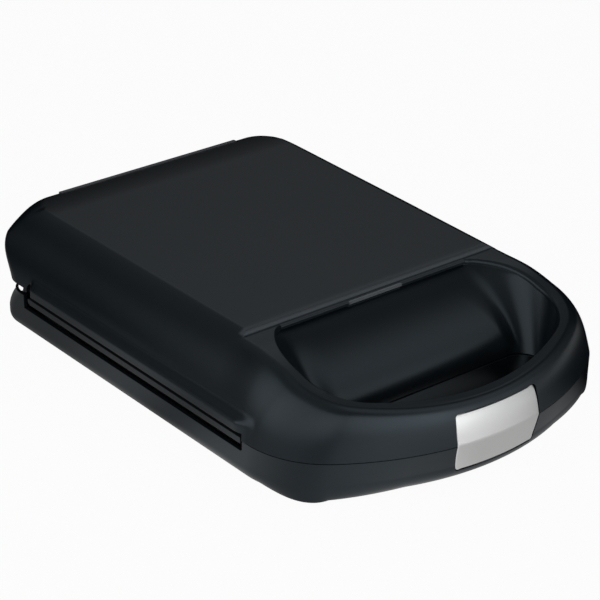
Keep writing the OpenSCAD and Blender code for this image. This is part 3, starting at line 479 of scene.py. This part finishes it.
# Cuts in the lower edge: the side skirts with their round notch, and the open rear
notch_radius, notch_y, notch_height = 4.3, skirt_end_y + 4.5, skirt_height + 2.2
rear_edge_height, rear_skirt_y = hinge_height + 3, skirt_end_y + 12.5
side_cuts = [
    box_outline(shoulder_y, skirt_end_y + 9, 0, skirt_height),
    box_outline(skirt_end_y, rear_skirt_y + 0.5, 0, skirt_height - 0.5),
    box_outline(rear_skirt_y, rear_y + 4, 0, rear_edge_height + 0.3),
    disc_outline((notch_y, notch_height), notch_radius),
]
side_inside, side_outside = half_width - 12, half_width + 6
for low, high in ((side_inside, side_outside), (-side_outside, -side_inside)):
    combine(lid_cover, [prism("side_cut", outline, low, high, "x") for outline in side_cuts])
rear_cut = box_outline(hinge_y - 8, rear_y + 1, 0, rear_edge_height)
combine(lid_cover, [prism("rear_cut", rear_cut, -half_width, half_width, "x")])

# Front window for the latch and the room in which its top edge swings
latch_width, latch_bottom, latch_top, latch_side_radius, latch_corner_radius = 65.0, 11.5, 48.6, 101.0, 2.2
latch_y, latch_height = front_y + 11.5, latch_top - 3.4
latch_middle = (latch_top + latch_bottom) / 2 + 2
# The tub's front, below the seam, leans back to a rounded lower edge over the feet
front_slope, under_radius, foot_height = 0.233, 12.0, 3.0
under_edge = foot_height + under_radius


def front_inset(z):
    """How far the front lies behind its outermost line at height z."""
    z = np.asarray(z, float)
    low = under_radius * (1 - np.sqrt(1 - share((under_edge - z) / under_radius) ** 2))
    below = front_slope * (seam_height - np.clip(z, under_edge, seam_height)) + low
    above = front_lean * lean(share((z - seam_height) / (rim_front_height - seam_height)), lean_straight)
    return np.where(z < seam_height, below, above)


def latch_outline(outset):
    """Closed front view of the latch plate: bowed sides and small corner arcs."""
    reach = latch_side_radius - latch_corner_radius
    high, low = latch_top - latch_corner_radius, latch_bottom + latch_corner_radius
    turn_high = math.degrees(math.asin((high - latch_middle) / reach))
    turn_low = math.degrees(math.asin((low - latch_middle) / reach))
    centre_x = latch_width / 2 - latch_side_radius
    corner_x = [centre_x + reach * math.cos(math.radians(a)) for a in (turn_low, turn_high)]
    small = latch_corner_radius + outset
    right = [
        *arc((corner_x[0], low), small, -90, turn_low, 8),
        *arc((centre_x, latch_middle), latch_side_radius + outset, turn_low, turn_high, 24)[1:-1],
        *arc((corner_x[1], high), small, turn_high, 90, 8),
    ]
    return right + [(-x, z) for x, z in right[::-1]]


# Room for the turning lever: a round trough on its pin's line, cut flat behind the pin
swing_steps, swing_room, trough_back = 48, 0.6, latch_y + 1.5
swing_x = np.linspace(-latch_width / 2, latch_width / 2, 33)
swing_radius = np.hypot(
    latch_y - front_y - front_radius + np.sqrt((front_radius - front_inset(latch_top)) ** 2 - swing_x**2),
    latch_top - latch_height,
)
swing_turns = np.linspace(0, 2 * math.pi, swing_steps, endpoint=False)
swing_points = [
    (x, min(latch_y - r * math.cos(a), trough_back), latch_height + r * math.sin(a))
    for x, r in zip(swing_x, swing_radius + swing_room)
    for a in swing_turns
]
swing_faces = ring_faces(len(swing_x), swing_steps)
swing_faces += [tuple(range(swing_steps)), tuple(range(len(swing_points) - swing_steps, len(swing_points)))]
latch_gap = 0.4

# Seats of the latch, the lever's swing, the indicator window and the rail, and room for the hinges
rail_half, rail_depth, rail_thickness, rail_gap, rail_room = 73.0, 5.2, 3.0, 2.6, 0.3
hinge_x, knuckle_half, knuckle_room = 75.0, 9.5, 6.1
window_seat, window_seat_half = tab_front + window_thickness + window_room, window_half + window_room
rail_seat_front, rail_seat_half = rear_y - rail_thickness - rail_gap, rail_half + rail_room
combine(
    lid_cover,
    [
        prism("window", latch_outline(latch_gap), front_y - 2, trough_back, "y"),
        mesh_from("swing", swing_points, swing_faces),
        prism(
            "window_seat",
            box_outline(-window_seat_half, window_seat_half, step_height - 4, step_height + 2),
            tab_front - 1, window_seat, "y",
        ),
        prism(
            "rail_seat",
            box_outline(rail_seat_front, rear_y + 1, deck_height - rail_depth, deck_height + 3),
            -rail_seat_half, rail_seat_half, "x",
        ),
        *[
            prism("knuckle_room", disc_outline((hinge_y, hinge_height), knuckle_room),
                  x - knuckle_half, x + knuckle_half, "x")
            for x in (-hinge_x, hinge_x)
        ],
    ],
)
smoothed(lid_cover)


class Value:
    """Output of a shader node; Python arithmetic on it adds the Math nodes."""

    def __init__(self, finish, socket):
        self.finish, self.socket = finish, socket

    def math(self, operation, *terms):
        return self.finish.node("ShaderNodeMath", {"operation": operation}, dict(enumerate(terms)))

    def __add__(self, other):
        return self.math("ADD", self, other)

    def __rsub__(self, other):
        return self.math("SUBTRACT", other, self)

    def __mul__(self, other):
        return self.math("MULTIPLY", self, other)

    __radd__, __rmul__ = __add__, __mul__


class Finish:
    """Node tree of a material, or of the world; a plain one ends in a Principled shader."""

    def __init__(self, name, owner=None):
        self.material = owner or bpy.data.materials.new(name)
        self.material.use_nodes = True
        self.tree = self.material.node_tree
        self.shader = self.tree.nodes.get("Principled BSDF")

    def node(self, kind, settings=None, inputs=None, output=0):
        made = self.tree.nodes.new(kind)
        for key, setting in (settings or {}).items():
            setattr(made, key, setting)
        self.fill(made, inputs or {})
        return Value(self, made.outputs[output])

    def fill(self, made, inputs):
        for key, value in inputs.items():
            if isinstance(value, Value):
                self.tree.links.new(value.socket, made.inputs[key])
            else:
                made.inputs[key].default_value = value

    def ramp(self, value, low, high):
        """Smooth step from 0 at low to 1 at high."""
        made = {"interpolation_type": "SMOOTHSTEP"}
        return self.node("ShaderNodeMapRange", made, {"Value": value, "From Min": low, "From Max": high})

    def place(self):
        """Position on the object in millimetres, the same on every piece."""
        point = self.node("ShaderNodeTexCoord", output="Object")
        return self.node("ShaderNodeVectorMath", {"operation": "SCALE"}, {0: point, "Scale": 1000.0})

    def along(self, direction, way):
        """Cosine of the angle between a varying direction and a fixed one."""
        return self.node("ShaderNodeVectorMath", {"operation": "DOT_PRODUCT"}, {0: direction, 1: way}, "Value")

    def split(self, point, *numbers):
        """The parts of a point: 0 across, 1 along and 2 up."""
        return [self.node("ShaderNodeSeparateXYZ", {}, {0: point}, output=k) for k in numbers]

    def noise(self, scale, detail, roughness=0.5, where=None):
        inputs = {"Vector": where or self.place(), "Scale": scale, "Detail": detail, "Roughness": roughness}
        return self.node("ShaderNodeTexNoise", {}, inputs)

    def blend(self, factor, first, second):
        """Mix of two colours, each three numbers or another blend."""
        first, second = ((*c, 1) if isinstance(c, tuple) else c for c in (first, second))
        return self.node("ShaderNodeMix", {"data_type": "RGBA"}, {0: factor, 6: first, 7: second}, output=2)

    def bump(self, height, strength, distance, edge=0.0):
        """Relief of a height in metres, on edges that look rounded to a radius."""
        inputs = {"Height": height, "Strength": strength, "Distance": distance}
        if edge:
            inputs["Normal"] = self.node("ShaderNodeBevel", {"samples": 4}, {"Radius": edge})
        return self.node("ShaderNodeBump", {}, inputs)

    def done(self, **sockets):
        self.fill(self.shader, {key.replace("_", " "): value for key, value in sockets.items()})
        return self.material


def dress(pieces, material):
    for piece in pieces:
        piece.data.materials.clear()
        piece.data.materials.append(material)


# Satin black moulding: nearly black, with a fine matt grain, a faint uneven sheen and a painted highlight
# along the deck's front edge
satin = Finish("satin_black_moulding")
satin_grain = satin.noise(2.6, 3.0, 0.6)
satin_cloud = satin.noise(0.018, 2.0)
satin_y, satin_z = satin.split(satin.place(), 1, 2)
# Painted highlight: the rounded front edge of the deck is given a lighter colour, so that it shows as a bright
# line
painted_lip_highlight = satin.ramp(satin_y, lip_y - 1.0, lip_y + 0.4) * (1 - satin.ramp(satin_y, lip_y + 2.5, lip_y + 5.5))
painted_lip_highlight = painted_lip_highlight * satin.ramp(satin_z, step_height + 0.2, step_height + 1.2) * (0.7 + satin_grain * 0.5)
satin_colour = satin.blend(satin_cloud, (0.0060, 0.0088, 0.0112), (0.0078, 0.0110, 0.0138))
cool_sheen = (0.74, 0.89, 1.0, 1)
satin_black = satin.done(
    Base_Color=satin.blend(painted_lip_highlight, satin_colour, (0.060, 0.066, 0.072)),
    Roughness=0.25 + satin_cloud * 0.04 + satin_grain * 0.04,
    Normal=satin.bump(satin_grain, 0.08, 0.00012, 0.00035),
    Specular_IOR_Level=0.56,
    Specular_Tint=cool_sheen,
)
dress([lid_cover], satin_black)
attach(lid_cover, "lid")
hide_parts("lid_shell")

# ---- Rear rail
# A narrow black plastic strip across the rear edge of the deck, pressed into a slot of the
# cover. Its grey, lighter than the cover's, is a painted highlight for the thin bright line
# along it, and a fine dark groove runs in front of it.
rail_edge, rail_slope, rail_rear, rail_front = 0.25, 0.15, rear_y - 0.3, rear_y - rail_thickness
rail_top = float(top_height(rear_y)) + 0.5
rail_bottom = rail_top - 4.4
rail_outline = [
    (rail_rear, rail_bottom),
    *arc((rail_rear - rail_edge, rail_top - rail_edge - rail_slope), rail_edge, 0, 90, 6),
    *arc((rail_front + rail_edge, rail_top - rail_edge), rail_edge, 90, 180, 6),
    (rail_front, rail_bottom),
]
rail_strip = prism("rear_strip", rail_outline, -rail_half, rail_half, "x")
smoothed(rail_strip)


def moulded(name, dark, light, roughness, grain=2.6, grain_depth=0.08, edge=0.0003, gloss=0.4):
    """Plastic or rubber from a mould: a matt grain, and a colour and sheen that drift slightly."""
    finish = Finish(name)
    fine, broad = finish.noise(grain, 3.0, 0.6), finish.noise(0.02, 2.0)
    return finish.done(
        Base_Color=finish.blend(broad, dark, light),
        Roughness=roughness + broad * 0.05 + fine * 0.05,
        Normal=finish.bump(fine, grain_depth, 0.00012, edge),
        Specular_IOR_Level=gloss,
        Specular_Tint=cool_sheen,
    )


# Painted highlight: the rail's grey is lighter than the cover's so that it shows as a bright line
dress([rail_strip], moulded("satin_rail_painted_highlight", (0.085, 0.090, 0.098), (0.100, 0.106, 0.114), 0.34))
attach(rail_strip, "lid")
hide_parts("rear_rail")

# ---- Indicator window and lamps
# A smoked clear strip under the hanging lip, clipped into it from below, and behind it a red
# and a green lamp, each a small clear cap in a dark holder under the deck.
# Painted highlight: the strip is smoked clear, and its opaque light grey stands in for the bright line it
# shows under the lip
window = moulded("smoked_window_painted_highlight", (0.11, 0.12, 0.13), (0.15, 0.16, 0.17), 0.12, 1.2, 0.02, 0.0002, 0.5)
dress([nodes["indicator_window"]], window)
lamp = Finish("lamp_caps_and_holders")
lamp_x, lamp_z = lamp.split(lamp.place(), 0, 2)
holder_height = 4.0
holder_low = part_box("indicator_lamps")[1].z / MM - holder_height
in_holder = lamp.ramp(lamp_z, holder_low - 0.05, holder_low + 0.05)
cap_colour = lamp.blend(lamp.ramp(lamp_x, -1.0, 1.0), (0.55, 0.03, 0.02), (0.06, 0.42, 0.08))
lamp_grain = lamp.noise(2.0, 3.0)
lamps = lamp.done(
    Base_Color=lamp.blend(in_holder, cap_colour, (0.03, 0.03, 0.03)),
    Roughness=0.2 + lamp_grain * 0.15,
    Normal=lamp.bump(lamp_grain, 0.05, 0.0001, 0.0002),
)
dress([nodes["indicator_lamps"]], lamps)

# ---- Inner frames
# The two dark frames that hold the baking plates, moulded in a heat-proof plastic and screwed
# into the housings. The side bands of the lid's frame show below the skirts of the cover.
# A groove runs along each side band, from outside the band into its face
groove_low, groove_high, groove_inside, groove_outside = 32.3, 36.0, half_width - 2.0, half_width + 3.0
frame_black = moulded(
    "heat_proof_frame", (0.010, 0.012, 0.014), (0.015, 0.017, 0.019), 0.34, 1.6, 0.16, gloss=0.5
)


def copied(name, node):
    """Copy of a CAD node's mesh as a piece of its own, welded so that it can be cut."""
    mesh = nodes[node].data.copy()
    work = bmesh.new()
    work.from_mesh(mesh)
    bmesh.ops.remove_doubles(work, verts=work.verts, dist=1e-7)
    work.to_mesh(mesh)
    work.free()
    piece = bpy.data.objects.new(name, mesh)
    scene.collection.objects.link(piece)
    return piece


upper_frame = copied("upper_frame", "lid_frame")
groove_outline = box_outline(shoulder_y - 1, rear_y, groove_low, groove_high)
for low, high in ((groove_inside, groove_outside), (-groove_outside, -groove_inside)):
    combine(upper_frame, [prism("band_groove", groove_outline, low, high, "x")])
smoothed(upper_frame)
dress([upper_frame, nodes["base_frame"]], frame_black)
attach(upper_frame, "lid")
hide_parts("lid_frame")

# ---- Baking plates
# Two cast aluminium plates with four cells each, parted by raised diagonals, sprayed with a
# dark non-stick coating that shows fine speckles and a soft orange-peel skin.
coating = Finish("non_stick_coating")
peel, speckle, stain = coating.noise(0.9, 2.0), coating.noise(5.0, 2.0, 0.7), coating.noise(0.05, 3.0)
coating_colour = coating.blend(stain, (0.020, 0.020, 0.021), (0.032, 0.031, 0.031))
non_stick = coating.done(
    Base_Color=coating.blend(coating.ramp(speckle, 0.66, 0.74) * 0.35, coating_colour, (0.16, 0.16, 0.165)),
    Roughness=0.3 + stain * 0.1 + speckle * 0.08,
    Normal=coating.bump(peel * 0.7 + speckle * 0.3, 0.25, 0.00025, 0.0006),
    Specular_IOR_Level=0.55,
)
dress([nodes["upper_plate"], nodes["lower_plate"]], non_stick)

# ---- Heaters, trays and thermostat
# A tube heater bent to a U lies on the back of each plate under a pressed tray of aluminised
# steel, and a small disc thermostat sits on the lid's tray.


def worked_metal(name, dark, light, roughness, scale=(0.05, 0.05, 0.05), mottle=0.1):
    """Bare or plated metal: broad tone changes, fine wear, and a sheen that is uneven."""
    finish = Finish(name)
    stretched = finish.node("ShaderNodeVectorMath", {"operation": "MULTIPLY"}, {0: finish.place(), 1: scale})
    broad, fine = finish.noise(1.0, 4.0, 0.6, stretched), finish.noise(3.0, 3.0)
    return finish.done(
        Base_Color=finish.blend(broad, dark, light),
        Metallic=1.0,
        Roughness=roughness + broad * mottle + fine * 0.06,
        Normal=finish.bump(fine, 0.06, 0.0001, 0.0003),
    )


heater_steel = worked_metal(
    "oxidised_heater_steel", (0.10, 0.088, 0.075), (0.20, 0.18, 0.155), 0.42, mottle=0.2
)
tray_steel = worked_metal("aluminised_steel", (0.50, 0.50, 0.495), (0.63, 0.63, 0.62), 0.32, (0.3, 0.01, 0.3))
dress([nodes["upper_element"], nodes["lower_element"]], heater_steel)
dress([nodes["upper_reflector"], nodes["lower_reflector"]], tray_steel)
dress([nodes["thermostat"]], worked_metal("thermostat_can", (0.55, 0.54, 0.51), (0.68, 0.67, 0.63), 0.28))

# ---- Base tub
# The outer moulding of the base: a black plastic tub on four feet, as wide as the lid, whose
# front end forms the lower half of the carrying handle. The lid's frame closes on its rim.
base_top, side_top = seam_height - 0.25, 22.8
side_under_radius, rear_depth, base_rear = 10.0, 5.0, hinge_y + 3
rear_bow_start, rear_bow_height, rear_tuck_share, base_rear_radius = 17.0, 13.0, 0.7, 13.0
# The way each point of the outline faces, in degrees from the front
corner_start, side_facing = 33, 90
facing = np.concatenate(
    [
        corner_start * (np.arange(front_steps) + 0.5) / front_steps,
        mix(corner_start, side_facing, np.arange(corner_steps + 1) / corner_steps),
        np.full(half_count - side_start, float(side_facing)),
    ]
)
# How strongly the lower edge is rounded off: fully in front and at the sides, hardly at the corners
full_corner, corner_fullness = 48, 0.9
off_corner = np.radians(np.minimum(3 * np.abs(facing - full_corner), 90))
underside = 1 - corner_fullness * np.maximum(0, np.cos(off_corner))


def base_ring(z, inset):
    """Right half of the tub's outline at a height."""
    low = share((foot_height + side_under_radius - z) / side_under_radius)
    side_in = side_under_radius * (1 - math.sqrt(1 - low**2))
    side, front = underside * side_in, underside * float(front_inset(min(z, seam_height - 0.001)))
    bow = share((z - rear_bow_start) / rear_bow_height)
    rear = base_rear - rear_depth * bow**2 - rear_tuck_share * side_in - inset
    rear_radius = base_rear_radius + rear_depth * bow - rear_tuck_share * side_in - inset
    x, y = plan_outline(
        half_width - side - inset,
        front_y + front + inset,
        front_radius - front - inset,
        corner_radius - (side + front) / 2 - inset,
        rear,
        rear_radius,
    )
    return np.column_stack([x, y, np.full(half_count, z)])


def gap_block(name, outset):
    """The finger gap's foot as a block right through the tub."""
    line = gap_line(gap_foot, outset)
    outline = [tuple(p) for p in line] + [(-x, y) for x, y in line[::-1]]
    return prism(name, outline, -1, 39, "z")


under_levels = foot_height + under_radius * (1 - np.cos(np.linspace(0, math.pi / 2, 22)))
tub_levels = [*under_levels, *np.linspace(16, seam_height + 2, 12)]
hollow_levels = [foot_height + wall, 6.5, 9, 12, 15, 20, 25, seam_height + 4]
base_tub = loft("base_tub", [base_ring(z, 0) for z in tub_levels])
base_hollow = loft("base_hollow", [base_ring(z, wall) for z in hollow_levels])
tub_gap_inset = 0.8
combine(base_hollow, [gap_block("gap_wall", wall - tub_gap_inset)])
combine(base_tub, [base_hollow, gap_block("gap_hole", -tub_gap_inset)])

# Cuts in the tub: its top at the seam, lower rims along the sides and at the rear with room for
# the corners of its frame, and the openings for the lever and the gland
above, slot_round, slot_end_y = 60, 2, skirt_end_y + 10.5
ledge_half, corner_near, corner_far = half_width - 9, 98, half_width - 7
corner_front_y, corner_low, latch_room_rear = rear_y - 31, 20, front_y + 9.4
tub_side = half_width + 1
gland_x, gland_height, gland_radius = -30.0, 16.0, 4.6
slot_outline = [
    (shoulder_y, 56),
    *arc((shoulder_y + slot_round, side_top + slot_round), slot_round, 180, 270, 8),
    (slot_end_y, side_top),
    (slot_end_y, 56),
]
corner_outline = box_outline(corner_front_y, rear_y, corner_low, above)
gland_outline = disc_outline((gland_x, gland_height), gland_radius)
combine(
    base_tub,
    [
        prism("seam", box_outline(front_y - 1, shoulder_y + 1, base_top, above), -tub_side, tub_side, "x"),
        prism("slot", slot_outline, -tub_side, tub_side, "x"),
        prism("ledge", box_outline(skirt_end_y, rear_y, side_top + 1.5, above), -ledge_half, ledge_half, "x"),
        prism("left_corner", corner_outline, -corner_far, -corner_near, "x"),
        prism("right_corner", corner_outline, corner_near, corner_far, "x"),
        prism("latch_room", latch_outline(latch_gap), front_y - 2, latch_room_rear, "y"),
        prism("gland_hole", gland_outline, base_rear - 12, base_rear + 8, "y"),
    ],
)
smoothed(base_tub)
dress([base_tub], satin_black)
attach(base_tub, "base")
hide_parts("base_shell")

# ---- Latch lever
# The curved plate in the front that holds the lid shut: sheet metal with a satin silver finish,
# rolled to the curve of the handle, with rounded edges and two lugs on its pin.
latch_thickness, latch_edge_round, latch_ease, latch_ease_height = 2.0, 0.9, 0.35, 5.4


def latch_face(x, z):
    """The lever's front: the handle's curve, eased back near the top so that it swings clear of the cover."""
    eased = latch_ease * max(0.0, 1 - (latch_top - z) / latch_ease_height) ** 2
    return front_y + front_radius - math.sqrt((front_radius - float(front_inset(z))) ** 2 - x * x) + eased


def latch_ring(inset, behind):
    return [(x, latch_face(x, z) + behind, z) for x, z in latch_outline(-inset)]


# Rings from the back of the plate to its front, the last ones round its edge
round_angles = np.radians(np.linspace(0, 90, 7))
latch_rings = [latch_ring(0, latch_thickness), latch_ring(0, latch_edge_round + 0.1)]
latch_rings += [
    latch_ring(latch_edge_round * (1 - math.cos(a)), latch_edge_round * (1 - math.sin(a)))
    for a in round_angles
]
ring = len(latch_rings[0])
latch_points = [p for r in latch_rings for p in r]
latch_faces = ring_faces(len(latch_rings), ring)
latch_columns = 40
for base, behind in ((0, latch_thickness), ((len(latch_rings) - 1) * ring, 0.0)):
    pairs = [(base + ring - 1 - i, base + i) for i in range(ring // 2)]
    latch_faces += cap_faces(
        latch_points, pairs, latch_columns, lambda p: (p[0], latch_face(p[0], p[2]) + behind, p[2])
    )
latch_lever = mesh_from("latch_lever", latch_points, latch_faces)
lug_radius, lug_near, lug_far, pin_hole_radius = 3.2, 14.0, 18.0, 1.55
lug_foot = box_outline(latch_y - 4.1, latch_y, latch_height - 2.8, latch_height + 2.2)
lug = disc_outline((latch_y, latch_height), lug_radius)
for low, high in ((-lug_far, -lug_near), (lug_near, lug_far)):
    lug_parts = [prism("lug", lug, low, high, "x"), prism("lug_foot", lug_foot, low, high, "x")]
    combine(latch_lever, lug_parts, "UNION")
pin_hole = disc_outline((latch_y, latch_height), pin_hole_radius)
combine(latch_lever, [prism("pin_hole", pin_hole, -lug_far - 2, lug_far + 2, "x")])
smoothed(latch_lever)
silver = Finish("satin_silver")
silver_grain = silver.noise(3.0, 3.0, 0.6)
silver_cloud = silver.noise(0.03, 2.0)
satin_silver = silver.done(
    Base_Color=silver.blend(silver_cloud, (0.84, 0.84, 0.835), (0.90, 0.90, 0.89)),
    Metallic=1.0,
    Roughness=0.34 + silver_cloud * 0.05 + silver_grain * 0.05,
    Normal=silver.bump(silver_grain, 0.08, 0.0001),
)
dress([latch_lever], satin_silver)
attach(latch_lever, "latch")
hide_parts("latch_plate")

# ---- Latch yoke, pin, spring and catch
# Behind the lever: a bent steel yoke screwed to the lid's frame, a turned pin, a coil spring
# round it, and in the base the folded strip that the lever's lower edge closes on.
zinc = worked_metal("zinc_plated_steel", (0.50, 0.51, 0.52), (0.66, 0.67, 0.67), 0.26, (0.08, 0.08, 0.08))
spring_steel = worked_metal("spring_steel", (0.36, 0.35, 0.34), (0.48, 0.47, 0.45), 0.28, (0.4, 0.4, 0.4))
dress([nodes["latch_bracket"], nodes["latch_pin"], nodes["catch_plate"]], zinc)
dress([nodes["latch_spring"]], spring_steel)

# ---- Hinges
# Two plain hinges at the rear: a moulded knuckle on the lid, steel cheeks in the base and a
# ground steel pin through both.
hinge_black = moulded("glass_filled_black", (0.016, 0.017, 0.018), (0.026, 0.027, 0.028), 0.42, 1.2, 0.2)
dress([nodes["lid_hinge_arms"]], hinge_black)
dress([nodes["base_hinge_brackets"], nodes["hinge_pins"]], zinc)

# ---- Terminals, fuse and gland
# Inside the rear of the base: a pale terminal block, a thermal fuse in a glass-fibre sleeve,
# and a black rubber bushing in the rear wall.
nylon = moulded("pale_nylon", (0.62, 0.60, 0.52), (0.72, 0.70, 0.62), 0.4, 1.5, 0.1)
sleeve = moulded("glass_fibre_sleeve", (0.50, 0.48, 0.42), (0.66, 0.64, 0.58), 0.7, 1.1, 0.5)
dress([nodes["terminal_block"]], nylon)
dress([nodes["thermal_fuse"]], sleeve)
rubber = moulded("black_rubber", (0.018, 0.018, 0.019), (0.030, 0.030, 0.031), 0.55, 1.8, 0.3, 0.0004, 0.35)
dress([nodes["cord_gland"]], rubber)

# ---- Screws and feet
# Cross-head steel screws with a dark finish hold the frames and the tub, and four round
# rubber feet are pressed into the floor of the base.
dark_screw = worked_metal("dark_plated_screws", (0.20, 0.20, 0.21), (0.30, 0.30, 0.31), 0.3, (0.5, 0.5, 0.5))
dress([nodes["lid_screws"], nodes["base_screws"]], dark_screw)
dress([nodes["feet"]], rubber)

# ---- Floor, light and camera
# A plain pale floor that keeps a soft shadow, soft boxes over and in front of the appliance,
# and dark surroundings behind it, so that the black mouldings stay black.
floor_half = 6000
floor_corners = box_outline(-floor_half, floor_half, -floor_half, floor_half)
floor = mesh_from("floor", [(x, y, 0) for x, y in floor_corners], [(0, 1, 2, 3)])
paper = Finish("pale_floor")
paper.tree.nodes.remove(paper.shader)
place = paper.node("ShaderNodeNewGeometry", output="Position")
reach = paper.node("ShaderNodeVectorMath", {"operation": "LENGTH"}, {0: place}, output="Value")
outward = paper.node("ShaderNodeVectorMath", {"operation": "NORMALIZE"}, {0: place})


def toward(azimuth, elevation):
    """Unit vector; azimuth runs from the rear (0) over the right side (90) to the front (180)."""
    a, e = math.radians(azimuth), math.radians(elevation)
    return math.sin(a) * math.cos(e), math.cos(a) * math.cos(e), math.sin(e)


# How bright the floor shows in the object's gloss: azimuth, brightness close by and further off
floor_glow = [(180, 0.43, 1.0), (135, 0.0, 0.75), (225, 0.44, 0.0), (270, 0.26, 0.22), (315, 0.23, 0.0)]
beyond = paper.ramp(reach, 0.3, 0.5)
fading = beyond * (1 - paper.ramp(reach, 0.7, 1.1))
floor_tone = 0.0
for azimuth, close_by, further in floor_glow:
    sector = paper.ramp(paper.along(outward, toward(azimuth, 0)), 0.707, 1)
    floor_tone = sector * ((1 - beyond) * close_by + fading * further) + floor_tone
# Painted shadow: the floor's glow in the object's gloss is taken out right under the object, out to this far
# across and along, with a soft edge
across, along = (part.math("ABSOLUTE", part) for part in paper.split(place, 0, 1))
shade_across, shade_along, shade_edge = 0.125, 0.15, 0.025
open_across = paper.ramp(across, shade_across - shade_edge, shade_across)
open_along = paper.ramp(along, shade_along - shade_edge, shade_along)
floor_tone = floor_tone * (1 - (1 - open_across) * (1 - open_along))
to_camera = paper.node("ShaderNodeLightPath", output="Is Camera Ray")
to_gloss = paper.node("ShaderNodeLightPath", output="Is Glossy Ray")
to_glass = paper.node("ShaderNodeLightPath", output="Is Transmission Ray")
matt = paper.node("ShaderNodeBsdfDiffuse", {}, {"Color": (0.8, 0.8, 0.8, 1)})
dark = paper.node("ShaderNodeEmission", {}, {"Color": (0, 0, 0, 1), "Strength": 1.0})
glow = paper.node("ShaderNodeEmission", {}, {"Color": (1, 1, 1, 1), "Strength": 1.0})
seen = paper.node("ShaderNodeMixShader", {}, {0: to_camera * 0.96 + to_glass * 0.55, 1: matt, 2: glow})
mirrored_floor = paper.node("ShaderNodeMixShader", {}, {0: floor_tone, 1: dark, 2: glow})
floor_face = paper.node("ShaderNodeMixShader", {}, {0: to_gloss, 1: seen, 2: mirrored_floor})
paper.fill(paper.tree.nodes["Material Output"], {"Surface": floor_face})
dress([floor], paper.material)
floor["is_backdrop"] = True

scene.world = bpy.data.worlds.new("studio")
studio = Finish("studio", scene.world)
look = studio.node("ShaderNodeTexCoord", output="Generated")
# Soft patches of light round the room: azimuth, elevation, how far they reach, and brightness
patches = [
    (180, 8, 34, 1.08), (150, 8, 34, 0.67), (135, 56, 34, 0.56), (40, 40, 24, 0.37), (0, 56, 34, 0.21),
    (-60, 32, 34, 0.16), (120, 8, 34, 0.11), (120, 32, 34, 0.09), (-60, 8, 34, 0.08), (-120, 8, 34, 0.07),
]
brightest, patch_middle = 2.0, math.cos(math.radians(6))
room_light = 0.0
for azimuth, elevation, spread, brightness in patches:
    off_middle = studio.along(look, toward(azimuth, elevation))
    patch = studio.ramp(off_middle, math.cos(math.radians(spread)), patch_middle)
    room_light = patch * (brightness / brightest) + room_light
room = studio.node("ShaderNodeBackground", {}, {"Color": (0, 0, 0, 1)})
bright = studio.node("ShaderNodeBackground", {}, {"Color": (0.97, 0.99, 1, 1), "Strength": brightest})
white = studio.node("ShaderNodeBackground", {}, {"Color": (1, 1, 1, 1)})
lit = studio.node("ShaderNodeMixShader", {}, {0: room_light, 1: room, 2: bright})
seen_direct = studio.node("ShaderNodeLightPath", output="Is Camera Ray")
backdrop = studio.node("ShaderNodeMixShader", {}, {0: seen_direct, 1: lit, 2: white})
studio.fill(studio.tree.nodes["World Output"], {"Surface": backdrop})


def soft_box(name, place, target, width, height, strength):
    """Rectangular lamp whose face is as bright as the strength, where 1 is white."""
    lamp = bpy.data.lights.new(name, "AREA")
    lamp.shape, lamp.size, lamp.size_y = "RECTANGLE", width, height
    lamp.energy = strength * math.pi * width * height
    holder = bpy.data.objects.new(name, lamp)
    holder.location = place
    holder.rotation_mode = "QUATERNION"
    holder.rotation_quaternion = (Vector(target) - Vector(place)).to_track_quat("-Z", "Y")
    scene.collection.objects.link(holder)


soft_box("left_box", (-0.75, -0.35, 0.40), (0, -0.35, 0.25), 1.6, 0.7, 0.83)
soft_box("front_box", (-0.25, -1.3, 0.45), (-0.2, 0, 0.2), 1.2, 0.8, 0.44)
soft_box("top_box", (-0.35, -0.25, 1.1), (-0.1, -0.1, 0), 0.9, 0.8, 0.19)
soft_box("corner_box", (-0.8, -1.0, 0.55), (0, 0, 0.1), 0.8, 0.5, 0.15)

camera = bpy.data.objects.new("camera", bpy.data.cameras.new("camera"))
camera.data.lens = 140.3
camera.data.sensor_width = 36.0
camera_target = Vector((-0.04667, -0.0465, 0.0784))
camera_azimuth, camera_elevation, camera_roll = math.radians(-38.58), math.radians(26.71), math.radians(0.28)
camera_distance = 1.4175
back = Vector((
    math.sin(camera_azimuth) * math.cos(camera_elevation),
    -math.cos(camera_azimuth) * math.cos(camera_elevation),
    math.sin(camera_elevation),
))
camera.location = camera_target + back * camera_distance
camera.rotation_mode = "QUATERNION"
turn = (-back).to_track_quat("-Z", "Y")
camera.rotation_quaternion = Quaternion(back, camera_roll) @ turn
scene.collection.objects.link(camera)
scene.camera = camera
scene.view_settings.view_transform = "Standard"

low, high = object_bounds()
